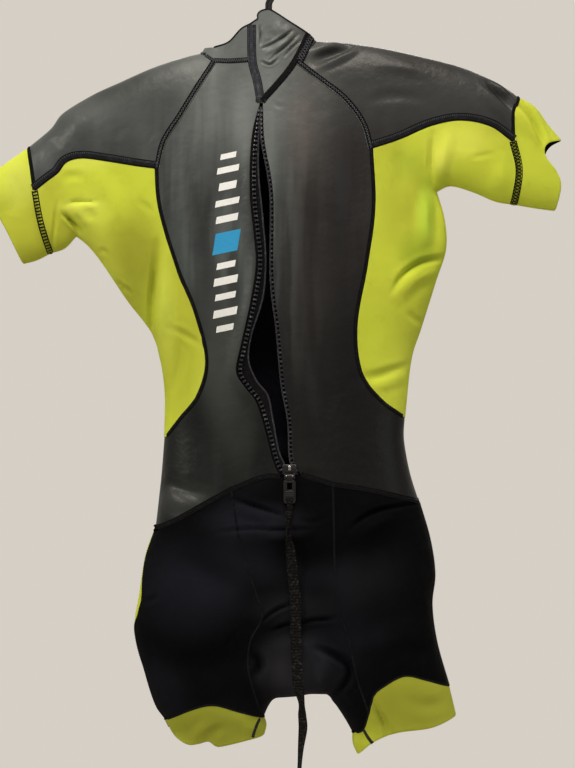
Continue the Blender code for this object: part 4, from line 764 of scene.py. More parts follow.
def seam_nodes():
    """Every seam and fold as its nodes."""
    count = COUNTS
    nodes = {}
    for side in ("left", "right"):
        turn = -1 if side == "right" else 1
        for name, pieces in (("top", count["raglan"] + count["under"]), ("arm", count["under"]),
                             ("flank", count["flank"]), ("waist", count["waist"]),
                             ("hip", count["hip"]), ("cuff_top", count["cuff"]),
                             ("leg_out", count["leg"])):
            nodes[f"{name}_{side}"] = line(FOLDS[f"{name}_{side}"][::turn], pieces)
        for name, pieces in (("cuff_under", count["cuff"]), ("leg_in", count["leg"]),
                             ("collar", count["collar"])):
            nodes[f"{name}_{side}"] = line(FOLDS[f"{name}_{side}"][::-turn], pieces)
        nodes[f"crotch_{side}"] = line(FOLDS[f"crotch_{side}"], count["crotch"])
        for name, pieces in (("raglan", "raglan"), ("under", "under"), ("side", "flank")):
            nodes[f"{name}_seam_{side}"] = line(SEAMS[f"{name}_{side}"], count[pieces])
        nodes[f"collar_end_{side}"] = line(SEAMS[f"collar_end_{side}"], count["collar_end"])
        nodes[f"cuff_up_{side}"] = line(SEAMS[f"cuff_up_{side}"], count["cuff_up"], "start")
        nodes[f"cuff_low_{side}"] = line(SEAMS[f"cuff_low_{side}"], count["cuff_low"], "end")
        nodes[f"seat_seam_{side}"] = line(SEAMS[f"seat_{side}"], count["hip"])
        nodes[f"waist_out_{side}"] = line(SEAMS[f"waist_out_{side}"], count[f"waist_out_{side}"])
        nodes[f"waist_in_{side}"] = line(SEAMS[f"waist_in_{side}"], count[f"waist_in_{side}"])
    body_rows = count["raglan"] + count["flank"] + count["tip"] + count["waist"]
    nodes["zip_left"] = line(SEAMS["zip_left"], body_rows - count["raglan"])
    nodes["zip_right"] = line(SEAMS["zip_right"], body_rows)
    nodes["flap_low_left"] = line(SEAMS["flap_left"][1:], count["raglan"])
    nodes["waist_middle"] = line(SEAMS["waist_middle"], count["waist_middle"])
    nodes["thigh_back_left"] = line(SEAMS["thigh_back_left"], count["hip"])
    nodes["front_centre"] = line(SEAMS["front_centre"], count["hip"])
    nodes["arch_left"] = line(SEAMS["arch_left"], count["arch_left"], "both")
    nodes["arch_in_right"] = line(SEAMS["arch_in_right"], count["arch_in"], "start")
    nodes["arch_out_right"] = line(SEAMS["arch_out_right"], count["arch_out"], "end")
    return nodes


def nearest_on(flat, run):
    """How far each point lies from a polyline, its share along it, and its side of it."""
    start = run[:-1]
    step = np.diff(run, axis=0)
    along = lengths_along(run)
    distance = np.empty(len(flat))
    share = np.empty(len(flat))
    cross = np.empty(len(flat))
    for low in range(0, len(flat), 20000):
        part = flat[low:low + 20000]
        offset = part[:, None] - start[None]
        part_share = np.clip((offset * step).sum(2) / (step ** 2).sum(1), 0, 1)
        away = offset - part_share[..., None] * step
        gaps = (away ** 2).sum(2)
        nearest = gaps.argmin(axis=1)
        rows = np.arange(len(part))
        distance[low:low + 20000] = np.sqrt(gaps[rows, nearest])
        spans = along[1:] - along[:-1]
        share[low:low + 20000] = ((along[nearest] + part_share[rows, nearest] * spans[nearest])
                                  / along[-1])
        cross[low:low + 20000] = (step[nearest, 0] * offset[rows, nearest, 1]
                                  - step[nearest, 1] * offset[rows, nearest, 0])
    return distance, share, cross


def slow_noise(flat, cell, seed):
    """Smooth random heights between -1 and 1, on a lattice of the given cell size."""
    lattice = np.random.default_rng(seed).uniform(-1, 1, (NOISE_CELLS, NOISE_CELLS))
    place = (flat - np.array(RASTER[:2])) / cell
    base = np.floor(place).astype(int)
    share = place - base
    share = share ** 2 * (3 - 2 * share)
    i, j = (base % (NOISE_CELLS - 1)).T
    low = lattice[i, j] * (1 - share[:, 0]) + lattice[i + 1, j] * share[:, 0]
    high = lattice[i, j + 1] * (1 - share[:, 0]) + lattice[i + 1, j + 1] * share[:, 0]
    return low * (1 - share[:, 1]) + high * share[:, 1]


class Sheets:
    """The back and front sheets over the flat outline."""

    def __init__(self, nodes):
        left, low, right, high = RASTER
        self.xs = np.arange(left, right, RASTER_PITCH)
        self.zs = np.arange(low, high, RASTER_PITCH)
        flat = np.stack(np.meshgrid(self.xs, self.zs, indexing="ij"), axis=-1).reshape(-1, 2)
        table = np.array(DEPTHS, float)
        apart = ((flat[:, None] - table[None, :, :2]) ** 2).sum(2)
        weights = np.exp(-apart / (2 * DEPTH_SPREAD ** 2)) + 1e-9
        weights /= weights.sum(1, keepdims=True)
        rounding = weights @ table[:, 4]
        fullness = np.ones(len(flat))
        for run in FOLD_RUNS:
            pieces = []
            for name in run:
                piece = nodes[name]
                turned = np.linalg.norm(piece[0] - FOLDS[name][0]) > 1e-6
                pieces.append((piece[::-1] if turned else piece)[::3])
                pieces[-1] = np.vstack([pieces[-1], piece[0] if turned else piece[-1]])
            distance, _, cross = nearest_on(flat, np.vstack(pieces) + 1e-7 * np.arange(
                sum(len(piece) for piece in pieces))[:, None])
            distance = np.where((cross < 0) & (distance < OUTSIDE_BAND), -distance, distance)
            fullness *= 1 - (1 - np.minimum(distance / rounding, 1)) ** 2
        self.levels = []
        for front, column in ((False, 2), (True, 3)):
            depth = weights @ table[:, column]
            for sheet, x0, z0, x1, z1, half_width, height in CREASES:
                if (sheet == "front") == front:
                    away, share, _ = nearest_on(flat, np.array([(x0, z0), (x1, z1)], float))
                    fade = np.sin(math.pi * (CREASE_FADE[0] + CREASE_FADE[1] * share))
                    depth += height * np.exp(-(away / half_width) ** 2) * fade
            self.levels.append((depth ** 2 * fullness).reshape(len(self.xs), len(self.zs)))

    def level(self, flat, front):
        """The squared depth over flat points, read between the raster's places."""
        x = np.clip((flat[:, 0] - self.xs[0]) / RASTER_PITCH, 0, len(self.xs) - 1.001)
        z = np.clip((flat[:, 1] - self.zs[0]) / RASTER_PITCH, 0, len(self.zs) - 1.001)
        i, j = x.astype(int), z.astype(int)
        u, v = x - i, z - j
        table = self.levels[1 if front else 0]
        return (table[i, j] * (1 - u) * (1 - v) + table[i + 1, j] * u * (1 - v)
                + table[i, j + 1] * (1 - u) * v + table[i + 1, j + 1] * u * v)

    def folds(self, flat, front, depth):
        """How far the small folds and the slack lift the cloth, in millimetres."""
        sizes = bpy.context.scene.suit_sizes
        bank, place, sharpness = FOLD_BANK
        start, span, power = FOLD_FADE
        lift = np.zeros(len(flat))
        for half_width, height, points in (FRONT_FOLDS if front else BACK_FOLDS):
            route = smooth_points(points, 6)
            reach = FOLD_REACH * half_width
            near = np.flatnonzero(np.all((flat > route.min(0) - reach)
                                         & (flat < route.max(0) + reach), axis=1))
            if not len(near):
                continue
            away, share, _ = nearest_on(flat[near], route)
            across = away / half_width
            shape = np.exp(-across ** 2) - bank * np.exp(-(across - place) ** 2 * sharpness)
            lift[near] += height * shape * np.sin(math.pi * (start + span * share)) ** power
        lift *= sizes.fold_strength
        for cell, share, seed in SLACK:
            noise = slow_noise(flat, cell, seed + FRONT_SEEDS * front)
            lift += sizes.slack / MM * share * noise
        return lift * np.clip(depth / FULL_DEPTH, 0, 1) ** DEPTH_POWER

    def lifted(self, flat, sign, folded=True):
        """Places and outward normals, in metres, over flat points on the sheets given by sign."""
        shape = flat.shape[:-1]
        points = flat.reshape(-1, 2).astype(float)
        sign = np.broadcast_to(sign, shape).reshape(-1).astype(float)
        height = np.zeros(len(points))
        lift = np.zeros(len(points))
        normal = np.zeros((len(points), 3))
        for front in (False, True):
            used = sign > 0 if front else sign <= 0
            here = points[used]
            if not len(here):
                continue
            slope = [(self.level(here + move, front) - self.level(here - move, front))
                     / (2 * SLOPE_STEP) for move in (np.array([SLOPE_STEP, 0]),
                                                     np.array([0, SLOPE_STEP]))]
            height[used] = np.sqrt(np.maximum(self.level(here, front), 0))
            normal[used, 0] = -slope[0]
            normal[used, 2] = -slope[1]
            if folded:
                lift[used] = self.folds(here, front, height[used])
        normal[:, 1] = 2 * sign * height
        normal = unit(normal)
        y = sign * (height * MM + HALF_GAP)
        places = np.column_stack([points[:, 0] * MM, y, points[:, 1] * MM])
        places += normal * lift[:, None] * MM
        return places.reshape(*shape, 3), normal.reshape(*shape, 3)


def patch(left, right, top, bottom):
    """A flat grid between four lines of nodes: rows from top to bottom, columns left to right."""
    rows = np.linspace(0, 1, len(left))[:, None, None]
    along_top = lengths_along(top)
    along_low = lengths_along(bottom)
    columns = np.linspace(0, 1, len(top))[None, :, None]
    if along_top[-1] > 0 and along_low[-1] > 0:
        columns = ((1 - rows) * (along_top / along_top[-1])[None, :, None]
                   + rows * (along_low / along_low[-1])[None, :, None])
    across = (1 - columns) * left[:, None] + columns * right[:, None]
    down = (1 - rows) * top[None] + rows * bottom[None]
    corners = ((1 - rows) * ((1 - columns) * left[0] + columns * right[0])
               + rows * ((1 - columns) * left[-1] + columns * right[-1]))
    return across + down - corners


def signed(flat, signs):
    """The flat grid with each point's sheet beside it, and room for how far it rolls down."""
    signs = np.broadcast_to(np.asarray(signs, float), flat.shape[:2])
    return np.concatenate([flat, signs[..., None], np.zeros((*flat.shape[:2], 1))], axis=2)


def turned(grid, edge, back=False):
    """The grid turned so that an edge is its first row, or turned back again."""
    if edge == "bottom":
        return grid[::-1]
    if edge == "left":
        return grid.swapaxes(0, 1)
    if edge == "right":
        return grid.swapaxes(0, 1)[:, ::-1] if back else grid[:, ::-1].swapaxes(0, 1)
    return grid


def rolled(grid, edges):
    """The grid with extra rows just inside the named edges, which roll down there."""
    for edge in edges:
        rows = turned(grid, edge)
        first, second = rows[0], rows[1]
        apart = np.maximum(np.linalg.norm((second - first)[:, :2], axis=1), 1e-6)
        added = []
        for place, (distance, drop) in enumerate(EDGE_ROLL):
            share = np.minimum(distance / apart, EDGE_SPAN * place)[:, None]
            row = first + (second - first) * share
            row[:, 2] = second[:, 2]
            row[:, 3] = np.maximum(row[:, 3], drop)
            added.append(row)
        added[0][:, 2] = first[:, 2]
        grid = turned(np.concatenate([np.stack(added), rows[1:]]), edge, back=True)
    return grid


class Joined:
    """One mesh gathered from forms that are each closed."""

    def __init__(self):
        self.points = []
        self.faces = []
        self.slots = []
        self.count = 0

    def add(self, points, quads, caps=(), slot=0):
        """One or more closed forms: if they are inside out, their faces are turned."""
        points = points.reshape(-1, 3)
        quads = np.asarray(quads)
        a, b, c, d = (points[quads[:, i]] for i in range(4))
        volume = (a * np.cross(b, c)).sum() + (a * np.cross(c, d)).sum()
        for cap in caps:
            corner = points[list(cap)]
            volume += (corner[0] * np.cross(corner[1:-1], corner[2:])).sum()
        turn = 1 if volume > 0 else -1
        faces = (quads[:, ::turn] + self.count).tolist()
        faces += [[i + self.count for i in cap[::turn]] for cap in caps]
        self.points.append(points)
        self.faces += faces
        self.slots += [slot] * len(faces)
        self.count += len(points)

    def tubes(self, rings, slot=0):
        """Closed tubes through rings of corners, given as tube, ring, corner and axis."""
        tubes, steps, corners = rings.shape[:3]
        index = np.arange(tubes * steps * corners).reshape(tubes, steps, corners)
        first, after = index[:, :-1], index[:, 1:]
        quads = np.stack([first, np.roll(first, -1, 2), np.roll(after, -1, 2), after], axis=-1)
        caps = index[:, 0, ::-1].tolist() + index[:, -1].tolist()
        self.add(rings, quads.reshape(-1, 4), caps, slot)

    def made(self, name, finishes, sharp=40):
        """The mesh as a new object with its finishes."""
        return new_object(name, np.vstack(self.points), self.faces, finishes, self.slots, sharp)


def placed(name, mesh, finishes, slots, sharp):
    """A mesh as a new object with its finishes, smooth but for its sharp edges."""
    for finish in finishes:
        mesh.materials.append(finish)
    mesh.polygons.foreach_set("material_index", slots)
    mesh.shade_smooth()
    mesh.set_sharp_from_angle(angle=math.radians(sharp))
    mesh.update()
    thing = bpy.data.objects.new(name, mesh)
    bpy.context.scene.collection.objects.link(thing)
    return thing


def new_object(name, points, faces, finishes, slots, sharp):
    """A mesh object from points and faces."""
    mesh = bpy.data.meshes.new(name)
    mesh.from_pydata(points.tolist(), [], faces)
    return placed(name, mesh, finishes, slots, sharp)


def settle(piece, body, slot, *nodes):
    """Hangs a piece on its body and hides the nodes that it stands for; the slot is not used."""
    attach(piece, body)
    if nodes:
        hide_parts(*nodes)
    return piece


def shell(name, grid, finish, wall, ring=False):
    """A cloth panel as a thin wall over its flat grid, with lining inside and foam at its edges."""
    sizes = bpy.context.scene.suit_sizes
    places, normals = SHEETS.lifted(grid[..., :2], grid[..., 2])
    roll = (grid[..., 3:] * min(sizes.roll, 0.4 * wall))
    outer = places - normals * roll
    inner = places - normals * (wall - roll)
    rows, columns = grid.shape[:2]
    index = np.arange(rows * columns).reshape(rows, columns)
    if ring:
        index = np.concatenate([index, index[:, :1]], axis=1)
    corners = [index[:-1, :-1], index[:-1, 1:], index[1:, 1:], index[1:, :-1]]
    quads = np.stack(corners, axis=-1).reshape(-1, 4)
    rims = [index[0], index[-1]] + ([] if ring else [index[:, 0], index[:, -1]])
    turns = (1, -1) if ring else (1, -1, -1, 1)
    under = rows * columns
    walls = [np.stack([rim[1:], rim[:-1], rim[:-1] + under, rim[1:] + under], axis=-1)[:, ::turn]
             for rim, turn in zip(rims, turns)]
    points = np.concatenate([outer.reshape(-1, 3), inner.reshape(-1, 3)])
    faces = np.concatenate([quads, quads[:, ::-1] + under, *walls])
    a, b, c, d = (points[faces[:, i]] for i in range(4))
    if (a * np.cross(b, c)).sum() + (a * np.cross(c, d)).sum() < 0:
        faces = faces[:, ::-1]
    slots = [0] * len(quads) + [1] * len(quads) + [2] * (len(faces) - 2 * len(quads))
    return new_object(name, points, faces.tolist(), [finish, FINISHES["lining"], FINISHES["foam"]],
                      slots, 60)


def cloth(node, grid, kind, wall=BODY_WALL, ring=False):
    """The fine shell of one cloth node, hung on the suit in place of the node."""
    piece = shell(f"{node}_cloth", grid, FINISHES[kind], wall, ring)
    settle(piece, "suit", {"skin": "smooth_skin_neoprene", "lime": "lime_jersey",
                           "jersey": "black_jersey"}[kind], node)


def panel(node, flat, sign, kind, *rests_on):
    """A panel on one sheet, rolled down on all four edges."""
    cloth(node, rolled(signed(flat, sign), EVERY_EDGE), kind)


def wrapped(back, front):
    """A grid over a fold: its back columns up to the fold, then the front's."""
    flat = np.concatenate([back, front[:, 1:]], axis=1)
    return signed(flat, [-1] * (back.shape[1] - 1) + [0] + [1] * (front.shape[1] - 1))


def tube_grid(back, front):
    """A ring grid from a back and a front half that share their two fold columns."""
    flat = np.concatenate([back, front[:, -2:0:-1]], axis=1)
    inside = back.shape[1] - 2
    return signed(flat, [0] + [-1] * inside + [0] + [1] * inside)


def torso():
    """The smooth-skin back panels and the front."""
    nodes = NODES
    edges = {}
    for side in ("left", "right"):
        tip = line([nodes[f"side_seam_{side}"][-1], nodes[f"waist_{side}"][0]], COUNTS["tip"])
        edges[side] = joined(nodes[f"raglan_seam_{side}"], nodes[f"side_seam_{side}"], tip,
                             nodes[f"waist_{side}"])
    low_left = joined(nodes["waist_out_left"], nodes["waist_in_left"])
    low_right = joined(nodes["waist_in_right"], nodes["waist_out_right"])
    zip_edge = joined(nodes["flap_low_left"], nodes["zip_left"])
    back = patch(edges["left"], zip_edge, line(SEAMS["collar_seam"], len(low_left) - 1), low_left)
    panel("back_left", back, -1, "skin", "shoulder_left_cloth", "collar_flap_cloth")
    top = line(SEAMS["flap_right"][::-1][:-1] + [SEAMS["raglan_right"][0]], len(low_right) - 1)
    back = patch(nodes["zip_right"], edges["right"], top, low_right)
    panel("back_right", back, -1, "skin", "shoulder_right_cloth", "collar_flap_cloth")
    low = joined(low_left, nodes["waist_middle"], low_right)
    front = patch(edges["left"], edges["right"], line(SEAMS["neckline"], len(low) - 1), low)
    panel("front_body", front, 1, "skin", "shoulder_left_cloth", "shoulder_right_cloth")


def sleeves():
    """The smooth-skin shoulders, and the lime sides and sleeve cuffs."""
    nodes = NODES
    for side in ("left", "right"):
        path = joined(nodes[f"raglan_seam_{side}"], nodes[f"under_seam_{side}"])
        half = patch(nodes[f"top_{side}"], path, nodes[f"collar_end_{side}"],
                     nodes[f"cuff_up_{side}"])
        grid = rolled(wrapped(half[:, ::-1], half), EVERY_EDGE)
        cloth(f"shoulder_{side}", grid, "skin", SLEEVE_WALL)
        seam = joined(nodes[f"under_seam_{side}"][::-1], nodes[f"side_seam_{side}"])
        edge = joined(nodes[f"arm_{side}"], nodes[f"flank_{side}"])
        tip = line([nodes[f"side_seam_{side}"][-1], nodes[f"flank_{side}"][-1]],
                   COUNTS["cuff_low"], "end")
        half = patch(seam, edge, nodes[f"cuff_low_{side}"], tip)
        grid = rolled(wrapped(half, half[:, ::-1]), ("top", "left", "right"))
        cloth(f"side_{side}", grid, "lime", SLEEVE_WALL)
        cuff_seam = joined(nodes[f"cuff_up_{side}"], nodes[f"cuff_low_{side}"])
        halves = []
        for face in ("back", "front"):
            hem = HEMS["cuff_left"] if side == "left" else HEMS[f"cuff_right_{face}"]
            halves.append(patch(nodes[f"cuff_top_{side}"], nodes[f"cuff_under_{side}"], cuff_seam,
                                line(hem, len(cuff_seam) - 1, "both")))
        cloth(f"cuff_{side}", rolled(tube_grid(*halves), ("top", "bottom")), "lime", SLEEVE_WALL,
              True)


def thigh_points(side):
    """The points of the seam between a shorts front and its thigh strip."""
    waist_out = NODES[f"waist_out_{side}"]
    place = COUNTS["thigh"] if side == "left" else len(waist_out) - COUNTS["thigh"] - 1
    arch = NODES["arch_left" if side == "left" else "arch_out_right"]
    return [waist_out[place], *SEAMS[f"thigh_front_{side}"], arch[place]]


def thigh_seam(side):
    """The nodes of the same seam."""
    return line(thigh_points(side), COUNTS["hip"])


def shorts():
    """The black seat and fronts, the lime thigh strips and leg cuffs."""
    nodes = NODES
    thigh = COUNTS["thigh"]
    arch_left, arch_in, arch_out = (nodes[name] for name in ("arch_left", "arch_in_right",
                                                             "arch_out_right"))
    crotch = joined(nodes["crotch_left"], nodes["crotch_right"])
    top, foot = nodes["waist_out_left"].copy(), arch_left.copy()
    top[0], foot[0] = nodes["thigh_back_left"][0], nodes["thigh_back_left"][-1]
    seat = patch(nodes["thigh_back_left"], nodes["seat_seam_left"], top, foot)
    panel("seat_left", seat, -1, "jersey", "back_left_cloth")
    seat = patch(nodes["seat_seam_left"], nodes["seat_seam_right"],
                 joined(nodes["waist_in_left"], nodes["waist_middle"], nodes["waist_in_right"]),
                 joined(crotch, arch_in))
    panel("seat_centre", seat, -1, "jersey", "back_left_cloth", "back_right_cloth")
    seat = patch(nodes["seat_seam_right"], nodes["hip_right"], nodes["waist_out_right"], arch_out)
    panel("seat_right", seat, -1, "jersey", "back_right_cloth")

    waist_out = nodes["waist_out_left"]
    seam = thigh_seam("left")
    front = patch(nodes["hip_left"], seam, waist_out[:thigh + 1], arch_left[:thigh + 1])
    ends = [line([nodes["thigh_back_left"][end], nodes["hip_left"][end]], 4) for end in (0, -1)]
    turn = patch(nodes["thigh_back_left"], nodes["hip_left"], *ends)
    cloth("thigh_left", rolled(wrapped(turn, front), EVERY_EDGE), "lime")
    front = patch(seam, nodes["front_centre"], joined(waist_out[thigh:], nodes["waist_in_left"]),
                  joined(arch_left[thigh:], nodes["crotch_left"]))
    panel("shorts_front_left", front, 1, "jersey", "front_body_cloth")
    waist_out = nodes["waist_out_right"]
    kept = len(arch_out) - thigh
    seam = thigh_seam("right")
    front = patch(nodes["front_centre"], seam,
                  joined(nodes["waist_middle"], nodes["waist_in_right"], waist_out[:kept]),
                  joined(nodes["crotch_right"], arch_in, arch_out[:kept]))
    panel("shorts_front_right", front, 1, "jersey", "front_body_cloth")
    front = patch(seam, nodes["hip_right"], waist_out[kept - 1:], arch_out[kept - 1:])
    panel("thigh_right", front, 1, "lime", "front_body_cloth")

    half = patch(nodes["leg_out_left"], nodes["leg_in_left"], arch_left,
                 line(HEMS["leg_left"], len(arch_left) - 1, "both"))
    cloth("leg_cuff_left", rolled(tube_grid(half, half), ("top", "bottom")), "lime", SLEEVE_WALL,
          True)
    arch = joined(arch_in, arch_out)
    half = patch(nodes["leg_in_right"], nodes["leg_out_right"], arch,
                 line(HEMS["leg_right"], len(arch) - 1, "both"))
    cloth("leg_cuff_right", rolled(tube_grid(half, half), ("top", "bottom")), "lime", SLEEVE_WALL,
          True)


def neck():
    """The collar's band and the pointed flap over the top of the zip."""
    nodes = NODES
    count = COUNTS
    parts = (
        (line(SEAMS["collar_seam"], count["collar_seam"])[::-1], HEMS["collar_back"], -1),
        (nodes["collar_end_left"][::-1], HEMS["collar_turn_left"], -1),
        (nodes["collar_end_left"], HEMS["collar_turn_front"], 1),
        (line(SEAMS["neckline"], count["neckline"]), HEMS["collar_front"], 1),
        (nodes["collar_end_right"][::-1], HEMS["collar_turn_right"], 1),
    )
    low = joined(*[part[0] for part in parts])
    high = joined(*[line(hem, len(part) - 1) for part, hem, _ in parts])
    signs = np.concatenate([[sign] * (len(part) - 1) for part, _, sign in parts] + [[0]])
    signs[len(parts[0][0]) + len(parts[1][0]) - 2] = 0
    rows = np.linspace(0, 1, count["collar"] + 1)[:, None, None]
    flat = (1 - rows) * high[None] + rows * low[None]
    cloth("collar", rolled(signed(flat, signs), ("top", "bottom", "left")), "skin", SLEEVE_WALL)
    left = line(SEAMS["flap_left"], 2 * (count["raglan"] + count["collar"]))
    right = line(SEAMS["flap_right"], len(left) - 1)
    flat = patch(left, right, line(HEMS["flap"], count["flap"]),
                 line([left[-1], right[-1]], count["flap"]))
    cloth("collar_flap", rolled(signed(flat, -1), ("top", "left", "right")), "skin", SLEEVE_WALL)


def laid(path, front, step):
    """A flat path set on the cloth at even steps in metres: places, normals and sideways."""
    fine = shared_out(path, np.arange(0, lengths_along(path)[-1], FLAT_STEP))
    places, normals = SHEETS.lifted(fine, 1 if front else -1)
    along = lengths_along(places)
    wanted = np.linspace(0, along[-1], max(int(along[-1] / step), 2) + 1)
    places = shared_out(places, wanted, along)
    normals = unit(shared_out(normals, wanted, along))
    return places, normals, unit(np.cross(normals, np.gradient(places, axis=0)))


def band(joint, route, width, profile, slot=0, shift=0.0):
    """A flat band along a laid route: its profile is shares of its half width, and lifts in mm."""
    places, normals, sides = route
    ring = np.array(profile, float)
    centre = places + sides * shift * MM
    rings = (centre[:, None] + sides[:, None] * (ring[:, :1] * width / 2 * MM)
             + normals[:, None] * (ring[:, 1:] * MM))
    joint.tubes(rings[None], slot)


def stitches(joint, starts, ends, normals, thickness, slot):
    """Short threads from start to end, each arched and sunk at its ends, all in metres."""
    sides = np.cross(normals, unit(ends - starts))
    rings = []
    for share, lift in STITCH_ARCH:
        centre = starts + (ends - starts) * share + normals * thickness * lift
        rings.append(np.stack([centre + (sides * a + normals * b) * thickness / 2
                               for a, b in ((-1, 0), (0, -1), (1, 0), (0, 1))], axis=1))
    joint.tubes(np.stack(rings, axis=1), slot)


def zigzag(joint, route, width, slot, pitch, thickness, shift=0.0, lift=0.4, first=-1):
    """A zigzag of thread along a laid route, in millimetres."""
    sizes = bpy.context.scene.suit_sizes
    places, normals, sides = route
    pitch = pitch * MM if pitch else sizes.stitch
    along = lengths_along(places)
    turns = np.linspace(0, along[-1], max(2 * int(along[-1] / pitch), 2) + 1)
    centre = shared_out(places, turns, along) + shared_out(normals, turns, along) * lift * MM
    across = shared_out(sides, turns, along)
    swing = np.where(np.arange(len(turns)) % 2, -first, first)[:, None] * width / 2 + shift
    points = centre + across * swing * MM
    stitches(joint, points[:-1], points[1:], shared_out(normals, turns, along)[:-1],
             thickness * MM if thickness else sizes.thread, slot)


def ticks(joint, route, width, pitch, slot, shift, lift, thickness=None):
    """Straight stitches across a laid route, like a ladder's rungs, in millimetres."""
    places, normals, sides = route
    along = lengths_along(places)
    turns = np.arange(pitch / 2 * MM, along[-1], pitch * MM)
    up = shared_out(normals, turns, along)
    centre = shared_out(places, turns, along) + up * lift * MM
    across = shared_out(sides, turns, along)
    stitches(joint, centre + across * (shift - width / 2) * MM,
             centre + across * (shift + width / 2) * MM, up,
             thickness * MM if thickness else bpy.context.scene.suit_sizes.thread, slot)


def sew(joint, kind, flat, front, turn=1, step=STEP):
    """A seam of one kind along a flat path: its bands, then its zigzag."""
    route = laid(flat, front, step)
    bands, (width, slot, pitch, thickness, shift, lift) = SEWING[kind]
    for band_width, profile, band_slot, band_shift in bands:
        band(joint, route, band_width, profile, band_slot, band_shift * turn)
    zigzag(joint, route, width, slot, pitch, thickness, shift * turn, lift)


def seam_path(*names):
    """The smooth flat path of one or more seams end to end."""
    return joined(*[smooth_points(SEAMS[name]) for name in names])


def seams():
    """The flat seams that join the panels, with their threads."""
    both = (False, True)
    for side in ("left", "right"):
        joint = Joined()
        for front in both:
            inner = 1 if (side == "left") != front else -1
            sew(joint, "raglan", seam_path(f"raglan_{side}"), front, inner)
            sew(joint, "flank", seam_path(f"side_{side}"), front, inner, COARSE_STEP)
        sewn(joint, f"raglan_and_side_seam_{side}")
        joint = Joined()
        edge_at, width, pitch, thickness = LATTICES[side]
        for front in both:
            sew(joint, "cuff", seam_path(f"cuff_up_{side}"), front, 1, FINE_STEP)
            lattice = laid(seam_path(f"cuff_low_{side}"), front, FINE_STEP)
            for edge in (-1, 1):
                band(joint, lattice, LATTICE_EDGE, CORD, BLACK, edge * edge_at)
                if side == "right":
                    zigzag(joint, lattice, width, BLACK, pitch, thickness, 0, STITCH_LIFT, edge)
            if side == "left":
                ticks(joint, lattice, width, pitch, BLACK, 0, STITCH_LIFT, thickness)
        sewn(joint, f"cuff_seam_{side}")
    left, right = ["waist_out_left", "waist_in_left"], ["waist_in_right", "waist_out_right"]
    joint = Joined()
    for names, front, up in ((left + ["waist_middle"] + right, True, -1), (left, False, 1),
                             (right, False, 1)):
        sew(joint, "waist", seam_path(*names), front, up)
    sewn(joint, "waist_seam")
    joint = Joined()
    for name, front in (("seat_left", False), ("seat_right", False), ("front_centre", True)):
        sew(joint, "seat", seam_path(name), front)
    sewn(joint, "seat_seams")
    joint = Joined()
    for points, front in ((thigh_points("left"), True), (thigh_points("right"), True),
                          (SEAMS["thigh_back_left"], False), (FOLDS["hip_right"][::-1], True)):
        sew(joint, "thigh", smooth_points(points), front)
    sewn(joint, "thigh_seams")
    joint = Joined()
    for names in (("arch_left",), ("arch_in_right", "arch_out_right")):
        for front in both:
            sew(joint, "arch", seam_path(*names), front)
    for name, width in LEG_TABS:
        route = laid(seam_path(name), False, FINE_STEP)
        band(joint, route, width, DOME)
        ticks(joint, route, width - TAB_STITCH_IN, TAB_STITCH_PITCH, GREY_THREAD, 0, STITCH_LIFT)
    sewn(joint, "leg_seams")
    joint = Joined()
    for name, fronts in (("neckline", (True,)), ("collar_end_left", both),
                         ("collar_end_right", both)):
        for front in fronts:
            sew(joint, "neck", seam_path(name), front, 1, FINE_STEP)
    for name in TURNED_EDGES:
        route = laid(smooth_points(HEMS[name]), name == "collar_front", FINE_STEP)
        band(joint, route, TURNED_EDGE, CORD, BLACK_THREAD)
    sewn(joint, "neck_seams")


def sewn(joint, name, *replaced):
    """A seam's mesh as a piece of the suit."""
    piece = joint.made(name, [FINISHES[kind] for kind in SEWN_FINISHES])
    settle(piece, "suit", "black_tape", *replaced)


def tapes():
    """The wide tapes under the shoulders, on the collar's seam and along the flap."""
    for side in ("left", "right"):
        for face, front in (("back", False), ("front", True)):
            joint = Joined()
            route = laid(seam_path(f"under_{side}"), front, STEP)
            inward = 1 if (side == "right") != front else -1
            for width, profile, slot, shift in SHOULDER_BANDS:
                band(joint, route, width, profile, slot, shift * inward)
            for width, slot, shift in SHOULDER_TICKS:
                ticks(joint, route, width, TICK_PITCH, slot, shift * inward, TICK_LIFT)
            sewn(joint, f"shoulder_tape_{side}_{face}", f"sleeve_tape_{side}_{face}")
    joint = Joined()
    sew(joint, "collar_tape", seam_path("collar_seam"), False, 1, FINE_STEP)
    sewn(joint, "collar_tape", "collar_seam_tape")
    for name, node, shift, width, slot in FLAP_TAPES:
        joint = Joined()
        path = smooth_points(SEAMS[name])
        start, end = FLAP_TAPE_ENDS
        path = shared_out(path, np.linspace(start, lengths_along(path)[-1] - end, FLAP_TAPE_STEPS))
        route = laid(path, False, FINE_STEP)
        band(joint, route, width, BINDING, slot, shift)
        for edge in (-1, 1):
            ticks(joint, route, FLAP_STITCH, TICK_PITCH, BLACK_THREAD,
                  shift + edge * (width / 2 - FLAP_STITCH_IN), FLAP_STITCH_LIFT)
        if slot == BOUND:
            for edge in (-1, 1):
                band(joint, route, FLAP_EDGE, CORD, BLACK, shift + edge * width / 2)
            tack = laid(np.array(TACK, float), False, TACK_STEP)
            band(joint, tack, TACK_WIDTH, BINDING, BLACK_THREAD)
        else:
            braid = laid(smooth_points(BRAID), False, FINE_STEP)
            band(joint, braid, BRAID_WIDTH, BINDING)
            wide, pitch, thickness, lift = BRAID_THREADS
            for edge in (-1, 1):
                zigzag(joint, braid, wide, GREY_THREAD, pitch, thickness, 0, lift, edge)
        sewn(joint, f"{node}_tape", node)


